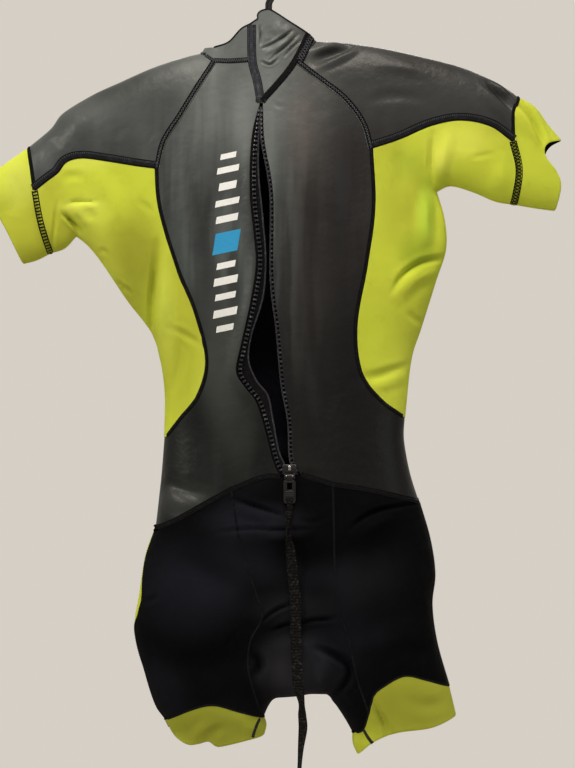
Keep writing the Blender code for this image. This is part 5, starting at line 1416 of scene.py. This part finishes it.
def zip_paths():
    """The flat x of the zip's panel edges and tape edges at even heights, top to foot."""
    left = line(SEAMS["zip_left"], ZIP_NODES)
    right = line(SEAMS["zip_right"], ZIP_NODES)
    heights = np.linspace(ZIP_TOP, ZIP_FOOT, ZIP_STEPS + 1)
    left_x = np.interp(-heights, -left[:, 1], left[:, 0])
    right_x = np.interp(-heights, -right[:, 1], right[:, 0])
    edge = smooth_points(ZIP_TAPE_EDGE)
    edge_x = np.interp(-heights, -edge[:, 1], edge[:, 0])
    edge_x = np.minimum(edge_x, left_x + ZIP_LEFT_SHARE * (right_x - left_x))
    shows = np.minimum(ZIP_RIGHT_SHOWS, ZIP_RIGHT_SHARE * (right_x - left_x))
    return heights, left_x, edge_x, right_x - shows, right_x


def zip_tapes():
    """The woven tapes of the open zip, each with its row of moulded teeth."""
    heights, left_x, edge_x, shown_x, right_x = zip_paths()
    pitch = bpy.context.scene.suit_sizes.tooth_pitch
    sunk = np.full(ZIP_COLUMNS, BODY_WALL + ZIP_TAPE_THICKNESS)
    sunk[ZIP_HIDDEN:] = ZIP_DROP + np.linspace(*ZIP_RISE, ZIP_COLUMNS - ZIP_HIDDEN) * MM
    for side, inside, edge, under in (("left", edge_x, left_x, -ZIP_TAPE_UNDER),
                                      ("right", shown_x, right_x, ZIP_TAPE_UNDER)):
        shares = np.linspace(0, 1, ZIP_COLUMNS)[None, :, None]
        flat = ((1 - shares) * np.column_stack([edge + under, heights])[:, None]
                + shares * np.column_stack([inside, heights])[:, None])
        places, normals = SHEETS.lifted(flat, -1)
        top = places - normals * sunk[None, :, None]
        joint = Joined()
        joint.tubes(np.concatenate([top, (top - normals * ZIP_TAPE_THICKNESS)[:, ::-1]],
                                   axis=1)[None])
        places, normals = SHEETS.lifted(np.column_stack([inside, heights]), -1)
        sides = unit(np.cross(normals, np.gradient(places, axis=0)))
        band(joint, (places - normals * (ZIP_DROP + ZIP_HEM_RAISED), normals, sides), ZIP_HEM,
             HEM, 1)
        piece = joint.made(f"zip_tape_{side}_woven", [FINISHES["tape"], FINISHES["hem"]])
        settle(piece, "suit", "black_tape", f"zip_tape_{side}")
        distance, most = TEETH_IN[side]
        shift = np.sign(distance) * np.minimum(abs(distance), abs(most) * (right_x - left_x))
        places, normals = SHEETS.lifted(np.column_stack([edge + shift, heights]), -1)
        along = lengths_along(places)
        turns = np.arange(pitch, along[-1] - ZIP_FOOT_CLEAR, pitch)
        ups = unit(shared_out(normals, turns, along))
        ahead = unit(shared_out(np.gradient(places, axis=0), turns, along))
        teeth(f"zip_teeth_{side}", shared_out(places, turns, along) - ups * ZIP_DROP, ups, ahead)


def teeth(name, centre, ups, ahead):
    """A row of moulded teeth: each is a waisted block with a raised crown."""
    width, length, height = TOOTH_SIZE
    across = np.cross(ups, ahead)
    joint = Joined()
    joint.tubes(np.stack([np.stack([
        centre + (ups * lift * height + across * a * width * share
                  + ahead * b * length * share) * MM for a, b in TOOTH_OUTLINE], axis=1)
        for lift, share in TOOTH_LEVELS], axis=1))
    settle(joint.made(name, [FINISHES["teeth"]], 30), "suit", "zip_plastic")


def slider_matrix():
    """The slider's frame: X along the waist, Y into the cloth, Z up the zip."""
    places, normals = SHEETS.lifted(np.array([SLIDER_AT], float), -1, folded=False)
    inward = -Vector(normals[0])
    inward.x = 0
    inward.normalize()
    right = Vector((1, 0, 0))
    turn = Matrix((right, inward, right.cross(inward))).transposed().to_4x4()
    return Matrix.Translation(Vector(places[0])) @ turn


def rounded_box(shape, box, at, bevel):
    """A bevelled box in millimetres, added to a bmesh."""
    scale = Matrix.Diagonal((*[length * MM for length in box], 1))
    made = bmesh.ops.create_cube(shape, size=1,
                                 matrix=Matrix.Translation(Vector(at) * MM) @ scale)
    edges = list({edge for vert in made["verts"] for edge in vert.link_edges})
    bmesh.ops.bevel(shape, geom=edges, offset=bevel * MM, segments=BEVEL_STEPS, profile=0.5,
                    affect="EDGES")


def rod(shape, radius, length, at):
    """A rod in millimetres along X, added to a bmesh."""
    bmesh.ops.create_cone(shape, cap_ends=True, segments=ROD_SIDES, radius1=radius * MM,
                          radius2=radius * MM, depth=length * MM,
                          matrix=Matrix.Translation(Vector(at) * MM)
                          @ Matrix.Rotation(math.pi / 2, 4, "Y"))


def from_shape(shape, name, finishes, matrix, plain=None):
    """An object from a bmesh set in place; faces after the first plain ones take the last finish."""
    shape.transform(matrix)
    bmesh.ops.recalc_face_normals(shape, faces=shape.faces)
    mesh = bpy.data.meshes.new(name)
    shape.to_mesh(mesh)
    shape.free()
    slots = np.zeros(len(mesh.polygons), int)
    if plain:
        slots[plain:] = 1
    return placed(name, mesh, finishes, slots, 35)


def zip_slider():
    """The slider: a shield-shaped body, a bridge with its lugs, a pin and a bright lock spring."""
    shape = bmesh.new()
    for block in SLIDER_BLOCKS:
        rounded_box(shape, *block)
    plain = len(shape.faces)
    rod(shape, *SLIDER_PIN)
    rounded_box(shape, *SLIDER_SPRING)
    piece = from_shape(shape, "slider_body", [FINISHES["slider"], FINISHES["steel"]],
                       slider_matrix(), plain)
    settle(piece, "suit", "zip_plastic", "zip_slider")


def outline_spline(curve, left, low, right, high, radius):
    """A closed outline with round corners as a spline of a flat curve, in millimetres."""
    points = []
    for x, z, first in ((right - radius, high - radius, 0), (left + radius, high - radius, 90),
                        (left + radius, low + radius, 180), (right - radius, low + radius, 270)):
        for step in range(CORNER_STEPS + 1):
            turn = math.radians(first + 90 * step / CORNER_STEPS)
            points.append((x + radius * math.cos(turn), z + radius * math.sin(turn)))
    spline = curve.splines.new("POLY")
    spline.points.add(len(points) - 1)
    for point, (x, z) in zip(spline.points, points):
        point.co = (x * MM, z * MM, 0, 1)
    spline.use_cyclic_u = True


def pull_tab():
    """The moulded tab with its window, three ribs and the slot for the leash."""
    width, length, depth = TAB_SIZE
    pin = Vector(next(joint for joint in frame["joints"] if joint["name"] == "tab_swing")["pos_m"])
    foot_z = pin.z / MM - length
    level = SHEETS.level(np.array([[pin.x / MM, foot_z]]), False)[0]
    foot_y = -(math.sqrt(max(level, 0)) + depth / 2 + TAB_CLEAR)
    lean = math.asin((foot_y - pin.y / MM) / length)
    matrix = Matrix.Translation(pin) @ Matrix.Rotation(lean, 4, "X")
    curve = bpy.data.curves.new("tab_outline", "CURVE")
    curve.dimensions = "2D"
    curve.fill_mode = "BOTH"
    curve.extrude = (depth / 2 - TAB_EDGE) * MM
    curve.bevel_depth = TAB_EDGE * MM
    curve.bevel_resolution = 2
    outline_spline(curve, TAB_EDGE - width / 2, TAB_EDGE - length, width / 2 - TAB_EDGE, -TAB_TOP,
                   TAB_CORNER)
    for wide, high, middle in (TAB_WINDOW, TAB_SLOT):
        wide, high = wide / 2 + TAB_EDGE, high / 2 + TAB_EDGE
        outline_spline(curve, -wide, middle - high, wide, middle + high, TAB_HOLE_CORNER)
    holder = bpy.data.objects.new("tab_outline", curve)
    bpy.context.scene.collection.objects.link(holder)
    bpy.context.view_layer.update()
    mesh = bpy.data.meshes.new_from_object(
        holder.evaluated_get(bpy.context.evaluated_depsgraph_get()))
    shape = bmesh.new()
    shape.from_mesh(mesh)
    bpy.data.objects.remove(holder, do_unlink=True)
    bmesh.ops.remove_doubles(shape, verts=shape.verts, dist=1e-6)
    shape.transform(Matrix.Rotation(math.pi / 2, 4, "X"))
    rounded_box(shape, (HUB_WIDTH, depth, TAB_TOP + HUB_REACH), (0, 0, HUB_AT), 0.5)
    rod(shape, HUB_RADIUS, HUB_WIDTH, (0, 0, 0))
    for height in TAB_RIBS:
        rounded_box(shape, TAB_RIB, (0, 0, height), 0.4)
    rounded_box(shape, TAB_BROW, (0, 0, TAB_BROW_AT), 0.3)
    piece = from_shape(shape, "pull_tab_moulded", [FINISHES["tab"]], matrix)
    settle(piece, "pull_tab", "zip_plastic", "pull_tab")
    return matrix, foot_y


def leash(matrix, foot_y):
    """The flat webbing from the tab's slot over the seat, and its sewn loop."""
    stations = smooth_points(np.array(LEASH_STATIONS, float), 8)
    along = lengths_along(stations[:, :2])
    stations = shared_out(stations, np.linspace(0, along[-1], LEASH_STEPS), along)
    flat = stations[:, [1, 0]]
    depths = -SHEETS.lifted(flat, -1)[0][:, 1] / MM
    depths[flat[:, 1] < LEASH_LEAVES] = 0
    furthest = -foot_y + TAB_SIZE[2] / 2 + LEASH_OVER_TAB + LEASH_THICKNESS / 2
    centres, rings = [], []
    for (height, sideways, twist, width), depth in zip(stations, depths):
        across = Vector((math.cos(math.radians(twist)), math.sin(math.radians(twist)), 0))
        reach = depth + LEASH_CLEAR + abs(across.y) * width / 2 + LEASH_THICKNESS / 2
        furthest = max(furthest, reach)
        centre = Vector((sideways, -furthest, height))
        out = Vector((-across.y, across.x, 0))
        centres.append(centre * MM)
        rings.append([(centre + across * width / 2 * a + out * LEASH_THICKNESS / 2 * b) * MM
                      for a, b in LEASH_SECTION])
    joint = Joined()
    joint.tubes(np.array([[list(point) for point in ring] for ring in rings])[None])
    piece = joint.made("leash_webbing", [FINISHES["webbing"]], 50)
    settle(piece, "pull_tab", "leash_webbing", "leash")
    loop = leash_loop(matrix)


def leash_loop(matrix):
    """The leash's end through the tab's slot and round its foot, sewn down in front."""
    slot_z = TAB_SLOT[2]
    foot = -TAB_SIZE[1]
    near = TAB_SIZE[2] / 2 + LOOP_OUT
    route = [(-near - 0.4, foot - 7.0), (-near - 0.2, foot + 1.0), (-near, slot_z - 1.4),
             (-near + 0.9, slot_z + 0.9), (0, slot_z + 1.3), (near * 0.55, slot_z + 0.4),
             (near * 0.7, slot_z - 1.6), (near * 0.7, foot + 0.8), (near * 0.3, foot - 1.0),
             (-near * 0.3, foot - 2.4), (-near - 0.1, foot - 5.4)]
    centres = line(route, LOOP_STEPS)
    rings = []
    for (y, z), (dy, dz) in zip(centres, unit(np.gradient(centres, axis=0))):
        ring = [(LOOP_HALF_WIDTH * a, y - dz * LOOP_HALF_THICKNESS * b,
                 z + dy * LOOP_HALF_THICKNESS * b) for a, b in LOOP_SECTION]
        rings.append([list(matrix @ (Vector(point) * MM)) for point in ring])
    joint = Joined()
    joint.tubes(np.array(rings)[None])
    return settle(joint.made("leash_loop", [FINISHES["webbing"]], 50), "pull_tab",
                  "leash_webbing")


def rounded_end(distance, reach, tip):
    """The share of full thickness at a distance from a rounded end."""
    return math.sqrt(max(1 - max(1 - distance / reach, 0) ** 2, tip))


def hanger():
    """The moulded bar under the shoulders and the grooved hook above it."""
    nodes = NODES
    fold = joined(nodes["top_left"][::-1], np.array([nodes["top_left"][0], nodes["top_right"][0]]),
                  nodes["top_right"])
    xs = np.linspace(*BAR_ENDS, BAR_STEPS)
    tops = np.pad(np.interp(xs, fold[:, 0], fold[:, 1]), BAR_SMOOTHING // 2, "edge")
    tops = np.convolve(tops, np.ones(BAR_SMOOTHING) / BAR_SMOOTHING, "valid")
    rise = np.gradient(tops, xs)
    middles = tops - (BAR_BELOW + BAR_HEIGHT / 2) * np.sqrt(1 + rise ** 2)
    turns = np.linspace(0, 2 * math.pi, BAR_SIDES, endpoint=False)
    rings = []
    for x, z in zip(xs, middles):
        share = rounded_end(min(x - BAR_ENDS[0], BAR_ENDS[1] - x), BAR_END, BAR_TIP)
        rings.append(np.column_stack([
            np.full(BAR_SIDES, x), BAR_THICKNESS / 2 * share * np.cos(turns),
            z + BAR_HEIGHT / 2 * share * np.sin(turns)]))
    joint = Joined()
    joint.tubes(np.array(rings)[None] * MM)
    bar = joint.made("hanger_bar_moulded", [FINISHES["hanger"]], 60)
    foot = np.interp(0, xs, middles) + BAR_HEIGHT / 2 + HOOK_ABOVE_BAR
    reach = HOOK_RADIUS + HOOK_WIDTH / 2
    first, last, points = HOOK_TURN
    angles = np.radians(np.linspace(first, last, points))
    route = [(0, foot), (0, foot + HOOK_STEM), *HOOK_NECK]
    route += [(reach * math.cos(turn), reach * math.sin(turn) - HOOK_RADIUS) for turn in angles]
    path = line(route, HOOK_STEPS)
    half = HOOK_THICKNESS / 2
    section = [(0.0, -half + HOOK_GROOVE), (0.28, -half + HOOK_GROOVE), (0.42, -half),
               (0.84, -half), (0.98, -half + HOOK_EDGE), (0.98, half - HOOK_EDGE), (0.84, half),
               (0.42, half), (0.28, half - HOOK_GROOVE), (0.0, half - HOOK_GROOVE)]
    section += [(-a, b) for a, b in section[-2:0:-1]]
    rings = []
    ends = lengths_along(path)
    for centre, ahead, along in zip(path, unit(np.gradient(path, axis=0)), ends):
        taper = rounded_end(ends[-1] - along, HOOK_END, HOOK_TIP)
        ring = []
        for a, b in section:
            x, z = centre + np.array([ahead[1], -ahead[0]]) * a * HOOK_WIDTH / 2 * taper
            ring.append((x, b * taper, z))
        rings.append(ring)
    joint = Joined()
    joint.tubes(np.array(rings)[None] * MM)
    hook = joint.made("hanger_hook_moulded", [FINISHES["hanger"]], 40)
    settle(bar, "suit", "hanger_plastic", "hanger_bar")
    settle(hook, "suit", "hanger_plastic", "hanger_hook")


def print_dashes():
    """Generic slanted dashes of screen ink in a column on the left back panel."""
    foot, head = np.array(PRINT_FOOT), np.array(PRINT_HEAD)
    joint = Joined()
    for share, tall, wide, ink in PRINT_DASHES:
        middle = foot + (head - foot) * share
        across, down = np.meshgrid(*[np.linspace(-0.5, 0.5, count) for count in PRINT_GRID],
                                   indexing="ij")
        flat = np.stack([middle[0] + across * PRINT_WIDTH * wide + PRINT_LEAN * down * tall,
                         middle[1] + down * tall + PRINT_SLANT * across * wide], axis=-1)
        places, normals = SHEETS.lifted(flat, -1)
        base = places - normals * PRINT_SUNK
        ring = np.concatenate([places + normals * PRINT_LIFT, base[:, ::-1]], axis=1)
        joint.tubes(ring[None], 0 if ink == "white" else 1)
    piece = joint.made("printed_dashes", [FINISHES["ink"], FINISHES["blue_ink"]], 50)
    settle(piece, "suit", "smooth_skin_neoprene")


def add_node(tree, kind, inputs, output=0, **settings):
    """A shader node with its settings; each input is a value, or the socket that feeds it."""
    node = tree.nodes.new("ShaderNode" + kind)
    for name, value in settings.items():
        setattr(node, name, value)
    for name, value in inputs.items():
        socket = node.inputs[name]
        if isinstance(value, bpy.types.NodeSocket):
            tree.links.new(value, socket)
        else:
            socket.default_value = (*value, 1) if socket.type == "RGBA" else value
    return node.outputs[output]


def new_finish(name, colour, roughness, patches=(), grains=(), weave=None, slopes=(), painted_light_spots=(),
               **constants):
    """A material with soft patches of colour, spots of painted light and shade, a grain in its surface and
    threads if it is cloth.

    A patch is its cells a metre along each axis, its detail, the noise where it begins and where it
    is full, its strength and its colour. A grain is its size and height in metres. A weave is its two
    thread spacings, the second one's direction, how deep its gaps are and how much painted shade
    darkens them. A slope is an axis, two places along it in metres, its strength at each and its
    colour. A spot is painted light or painted shade: its place (x, z), its half width and half height
    in millimetres, its strength and its colour.
    """
    made = bpy.data.materials.new(name)
    made.use_nodes = True
    tree = made.node_tree
    shader = tree.nodes["Principled BSDF"]
    shader.inputs["Roughness"].default_value = roughness
    for socket, value in constants.items():
        shader.inputs[socket.replace("_", " ")].default_value = value
    place = add_node(tree, "TexCoord", {}, "Object")
    colour = linear(colour)
    smoothest, roughest = ROUGHNESS_CELLS
    for stretch, detail, low, high, strength, other in patches:
        spread = add_node(tree, "Mapping", {"Vector": place, "Scale": stretch})
        cells = add_node(tree, "TexNoise", {"Vector": spread, "Scale": 1.0, "Detail": detail}, "Fac")
        share = add_node(tree, "MapRange", {0: cells, 1: low, 2: high, 4: strength},
                         interpolation_type="SMOOTHSTEP")
        colour = add_node(tree, "Mix", {0: share, 6: colour, 7: linear(other)}, 2,
                          data_type="RGBA")
        rough = add_node(tree, "MapRange", {
            0: cells, 1: smoothest, 2: roughest, 3: roughness * (1 - ROUGHNESS_SPREAD),
            4: min(roughness * (1 + ROUGHNESS_SPREAD), 1)})
        tree.links.new(rough, shader.inputs["Roughness"])
    for axis, low, high, at_low, at_high, other in slopes:
        along = add_node(tree, "SeparateXYZ", {"Vector": place}, axis)
        share = add_node(tree, "MapRange", {0: along, 1: low, 2: high, 3: at_low, 4: at_high},
                         interpolation_type="SMOOTHSTEP")
        colour = add_node(tree, "Mix", {0: share, 6: colour, 7: linear(other)}, 2,
                          data_type="RGBA")
    # Painted light and shade: each spot mixes a lighter or darker colour in where light falls or shade lies
    inside, outside = SPOT_EDGE
    for x, z, wide, tall, strength, other in painted_light_spots:
        spread = add_node(tree, "Mapping", {"Vector": place, "Location": (-x / wide, 0, -z / tall),
                                            "Scale": (1 / wide / MM, 0, 1 / tall / MM)})
        away = add_node(tree, "VectorMath", {0: spread}, "Value", operation="LENGTH")
        share = add_node(tree, "MapRange", {0: away, 1: inside, 2: outside, 3: strength, 4: 0.0},
                         interpolation_type="SMOOTHSTEP")
        colour = add_node(tree, "Mix", {0: share, 6: colour, 7: linear(other)}, 2,
                          data_type="RGBA")
    bump = {}
    for spacing, height in grains:
        cells = add_node(tree, "TexNoise", {"Vector": place, "Scale": 1 / spacing, "Detail": 2.0},
                         "Fac")
        bump["Normal"] = add_node(tree, "Bump", {"Height": cells, "Distance": height, **bump})
    if weave:
        first, second, way, depth, gap_shade = weave
        threads = [add_node(tree, "TexWave", {"Vector": place, "Scale": WAVE_PERIOD / pitch,
                                              "Distortion": THREAD_WANDER}, "Fac",
                            bands_direction=turn)
                   for pitch, turn in ((first, "Z"), (second, way))]
        height = add_node(tree, "Math", {0: threads[0], 1: threads[1]}, operation="MULTIPLY")
        # Painted shade: the gaps between the threads are darkened
        share = add_node(tree, "MapRange", {0: height, 1: 0.0, 2: 0.5, 3: gap_shade, 4: 0.0})
        colour = add_node(tree, "Mix", {0: share, 6: colour, 7: linear(THREAD_GAP_SHADE)}, 2,
                          data_type="RGBA")
        bump["Normal"] = add_node(tree, "Bump", {"Height": height, "Distance": depth, **bump})
    if isinstance(colour, bpy.types.NodeSocket):
        tree.links.new(colour, shader.inputs["Base Color"])
    else:
        shader.inputs["Base Color"].default_value = (*colour, 1)
    if bump:
        tree.links.new(bump["Normal"], shader.inputs["Normal"])
    return made


def smooth_skin(colours):
    """Foamed chloroprene with its cast skin left on: satin, with streaks of painted sheen, painted light on
    the shoulders and painted shade darker towards the waist.
    """
    # The skin is smooth to the hand, so only slow unevenness and a fine orange peel show
    return new_finish("smooth_skin_neoprene", colours.skin, 0.38, patches=(
        ((15, 15, 1.4), 2, 0.38, 0.62, 0.9, colours.skin_bloom),
        # Lighter vertical streaks: painted sheen
        ((46, 46, 4), 2, 0.46, 0.66, 0.55, "#656B69"),
        ((7, 7, 5), 2, 0.48, 0.66, 0.6, "#1C1D1D"),
        ((210, 210, 620), 4, 0.66, 0.78, 0.25, "#7C817F"),
    ), grains=((16 * MM, 1.1 * MM), (1.2 * MM, 0.025 * MM)), slopes=(
        # Lighter towards the shoulders: painted light from above, in part the skin's pale bloom
        ("Z", -0.36, -0.20, 0.0, 0.5, "#6D7270"),
        ("X", 0.0, 0.06, 0.0, 0.6, colours.skin_warm),
        ("X", -0.15, -0.09, 0.5, 0.0, "#2C2F2F"),
        ("X", 0.03, 0.11, 0.0, 0.8, "#191717"),
        # More painted light on the shoulders
        ("Z", -0.28, -0.18, 0.0, 0.14, "#6D7270"),
        # Darker towards the waist: painted shade
        ("Z", -0.66, -0.32, 0.9, 0.0, "#0C0D0C"),
    ), painted_light_spots=SKIN_PAINTED_LIGHT, IOR=1.52, Specular_IOR_Level=0.22)


def finishes(colours):
    """Every finish of the suit and hanger by its short name."""
    cloth_like = {"IOR": 1.5, "Specular_IOR_Level": 0.1}
    made = {"skin": smooth_skin(colours)}
    # Nylon jersey laminated on foam: matt, finely looped, yellower and greener in slow patches, with spots
    # of painted light and shade and painted shade in the gaps of its loops
    made["lime"] = new_finish("nylon_jersey_lime", colours.lime, 0.72, (
        ((6, 6, 3.4), 1, 0.44, 0.66, 0.55, colours.lime_deep),
        ((8, 8, 3), 1, 0.52, 0.70, 0.55, "#E2EA58"),
        ((60, 60, 60), 3, 0.56, 0.74, 0.16, colours.lime_deep),
    ), ((28 * MM, 1.2 * MM),), (*JERSEY_LOOPS, 0.10), painted_light_spots=LIME_PAINTED_LIGHT, **cloth_like)
    # The same jersey dyed black, with pale bluish patches that are partly wear and partly painted sheen,
    # painted highlights on its bulges and painted shade in the gaps of its loops
    made["jersey"] = new_finish("nylon_jersey_black", colours.jersey, 0.78, (
        ((6, 6, 5), 2, 0.42, 0.66, 0.35, colours.jersey_wear_and_sheen),
        ((90, 90, 90), 3, 0.58, 0.74, 0.08, "#262630"),
    ), ((28 * MM, 1.2 * MM),), (*JERSEY_LOOPS, 0.3), painted_light_spots=JERSEY_PAINTED_HIGHLIGHTS, IOR=1.5,
        Specular_IOR_Level=0.05)
    # A thin jersey glued inside, a little coarser
    made["lining"] = new_finish("lining_jersey", colours.lining, 0.8, (
        ((9, 9, 9), 2, 0.45, 0.65, 0.5, "#221F2B"),
    ), ((20 * MM, 0.8 * MM),), (1.6 * MM, 1.3 * MM, "X", 0.4 * MM, 0.3), **cloth_like)
    # Foam rubber where it was cut: open cells, quite matt
    made["foam"] = new_finish("cut_foam_rubber", "#161617", 0.9, (
        ((300, 300, 300), 2, 0.45, 0.65, 0.5, "#2A2A2B"),
    ), ((0.5 * MM, 0.12 * MM),), IOR=1.5, Specular_IOR_Level=0.2)
    # Woven tapes and webbing: close ribs that a loom leaves; threads: spun and slightly fuzzy.
    # Real ribs are 0.3 to 1 mm apart: they are drawn coarser so that they show
    for key, name, shade, pale, pitch in WOVEN:
        made[key] = new_finish(name, shade or getattr(colours, key), 0.75, (
            ((240, 240, 240), 2, 0.48, 0.7, 0.6, pale),
        ), (), (pitch * MM, pitch * 0.8 * MM, "DIAGONAL", pitch * 0.35 * MM, 0.45), **cloth_like)
    # Hard parts: moulded acetal and nylon, zinc under enamel, and screen inks, each barely worn; the
    # teeth's pale patches are painted highlights
    for key, name, shade, pale, roughness, grain, metal, coat in HARD:
        constants = {"IOR": 1.5} if not metal else {"Metallic": metal}
        made[key] = new_finish(name, shade or getattr(colours, key), roughness, (
            ((260, 260, 260), 3, 0.5, 0.75, 0.5, pale),
        ), ((grain * MM, grain * 0.1 * MM),), Coat_Weight=coat, **constants)
    return made


def aim(thing, target):
    """Turns a light or camera to look at a place."""
    away = Vector(target) - thing.location
    thing.rotation_euler = away.to_track_quat("-Z", "Y").to_euler()


def stage():
    """The pale floor, the soft light and the camera straight on."""
    scene = bpy.context.scene
    camera = bpy.data.objects.new("camera", bpy.data.cameras.new("camera"))
    scene.collection.objects.link(camera)
    x, z = VIEW_CENTRE
    camera.location = (x, -VIEW_DISTANCE, z)
    camera.rotation_euler = (math.pi / 2, 0, 0)
    camera.data.sensor_width = SENSOR
    camera.data.lens = SENSOR * (VIEW_DISTANCE + VIEW_PLANE) / VIEW_HEIGHT
    scene.camera = camera
    scene.view_settings.view_transform = "Standard"
    world = bpy.data.worlds.new("soft_room")
    world.use_nodes = True
    tree = world.node_tree
    way = add_node(tree, "TexCoord", {}, "Generated")
    colour = linear(ROOM)
    for axis, low, high, other in ROOM_SLOPES:
        along = add_node(tree, "SeparateXYZ", {"Vector": way}, axis)
        share = add_node(tree, "MapRange", {0: along, 1: low, 2: high, 3: 1.0, 4: 0.0},
                         interpolation_type="SMOOTHSTEP")
        colour = add_node(tree, "Mix", {0: share, 6: colour, 7: linear(other)}, 2,
                          data_type="RGBA")
    tree.links.new(colour, tree.nodes["Background"].inputs["Color"])
    scene.world = world
    bpy.ops.mesh.primitive_circle_add(vertices=FLOOR_SIDES, radius=FLOOR_RADIUS, fill_type="NGON",
                                      location=(0, 0, FLOOR_HEIGHT))
    floor = bpy.context.object
    floor.name = "floor"
    # Painted board: matt, with a trace of its roller's grain
    floor.data.materials.append(new_finish("painted_floor", "#D2CBC1", 0.8, (
        ((300, 300, 300), 2, 0.4, 0.6, 0.6, "#D7D1C7"),), ((2 * MM, 0.1 * MM),)))
    for name, location, width, power, tint in LIGHTS:
        light = bpy.data.lights.new(name, "AREA")
        light.size = width
        light.energy = power
        light.color = linear(tint)
        lamp = bpy.data.objects.new(name, light)
        lamp.location = location
        scene.collection.objects.link(lamp)
        aim(lamp, LIGHTS_AIM)


class WETSUIT_OT_stage(Operator):
    """Make the floor, lights and camera"""
    bl_idname = "wetsuit.stage"
    bl_label = "Stage"

    def execute(self, context):
        stage()
        return {"FINISHED"}


class WETSUIT_OT_finishes(Operator):
    """Make the finishes from the sidebar's colours"""
    bl_idname = "wetsuit.finishes"
    bl_label = "Finishes"

    def execute(self, context):
        FINISHES.update(finishes(context.scene.suit_colours))
        return {"FINISHED"}


class WETSUIT_OT_leash(Operator):
    """Make the pull tab and the leash that hangs from it"""
    bl_idname = "wetsuit.leash"
    bl_label = "Pull tab and leash"

    def execute(self, context):
        leash(*pull_tab())
        return {"FINISHED"}


class WETSUIT_OT_hanger(Operator):
    """Make the hanger's bar and hook"""
    bl_idname = "wetsuit.hanger"
    bl_label = "Hanger"

    def execute(self, context):
        hanger()
        return {"FINISHED"}


class WETSUIT_OT_torso(Operator):
    """Make the smooth-skin back and front panels"""
    bl_idname = "wetsuit.torso"
    bl_label = "Torso"

    def execute(self, context):
        torso()
        return {"FINISHED"}


class WETSUIT_OT_sleeves(Operator):
    """Make the shoulders, sides and sleeve cuffs"""
    bl_idname = "wetsuit.sleeves"
    bl_label = "Sleeves and sides"

    def execute(self, context):
        sleeves()
        return {"FINISHED"}


class WETSUIT_OT_shorts(Operator):
    """Make the seat, fronts, thigh strips and leg cuffs"""
    bl_idname = "wetsuit.shorts"
    bl_label = "Shorts"

    def execute(self, context):
        shorts()
        return {"FINISHED"}


class WETSUIT_OT_neck(Operator):
    """Make the collar and its flap"""
    bl_idname = "wetsuit.neck"
    bl_label = "Collar"

    def execute(self, context):
        neck()
        return {"FINISHED"}


class WETSUIT_OT_seams(Operator):
    """Sew the flat seams and tapes"""
    bl_idname = "wetsuit.seams"
    bl_label = "Seams and tapes"

    def execute(self, context):
        seams()
        tapes()
        return {"FINISHED"}


class WETSUIT_OT_zip(Operator):
    """Make the zip's tapes, teeth and slider"""
    bl_idname = "wetsuit.zip"
    bl_label = "Zip"

    def execute(self, context):
        zip_tapes()
        zip_slider()
        return {"FINISHED"}


class WETSUIT_OT_print(Operator):
    """Print the dashes on the left back panel"""
    bl_idname = "wetsuit.print"
    bl_label = "Printed dashes"

    def execute(self, context):
        print_dashes()
        return {"FINISHED"}


OPERATORS = (WETSUIT_OT_finishes, WETSUIT_OT_stage, WETSUIT_OT_leash, WETSUIT_OT_hanger,
             WETSUIT_OT_torso, WETSUIT_OT_sleeves, WETSUIT_OT_shorts, WETSUIT_OT_neck,
             WETSUIT_OT_seams, WETSUIT_OT_zip, WETSUIT_OT_print)


class WETSUIT_PT_sidebar(Panel):
    """The wetsuit's colours, sizes and steps"""
    bl_label = "Swimrun Wetsuit"
    bl_space_type = "VIEW_3D"
    bl_region_type = "UI"
    bl_category = "Wetsuit"

    def draw(self, context):
        for group in (context.scene.suit_colours, context.scene.suit_sizes):
            for name in group.bl_rna.properties.keys():
                if name not in ("rna_type", "name"):
                    self.layout.prop(group, name)
        for operator in OPERATORS:
            self.layout.operator(operator.bl_idname)


CLASSES = (SuitColours, SuitSizes, *OPERATORS, WETSUIT_PT_sidebar)


def register():
    """Adds the classes and the sidebar's values to Blender."""
    for made in CLASSES:
        bpy.utils.register_class(made)
    bpy.types.Scene.suit_colours = PointerProperty(type=SuitColours)
    bpy.types.Scene.suit_sizes = PointerProperty(type=SuitSizes)


def unregister():
    """Takes them away again."""
    del bpy.types.Scene.suit_sizes
    del bpy.types.Scene.suit_colours
    for made in reversed(CLASSES):
        bpy.utils.unregister_class(made)


NODES = seam_nodes()
SHEETS = Sheets(NODES)
FINISHES = {}


def main():
    """Makes every piece in order."""
    register()
    for operator in OPERATORS:
        name = operator.bl_idname.split(".")[1]
        getattr(bpy.ops.wetsuit, name)()


if __name__ == "__main__":
    main()
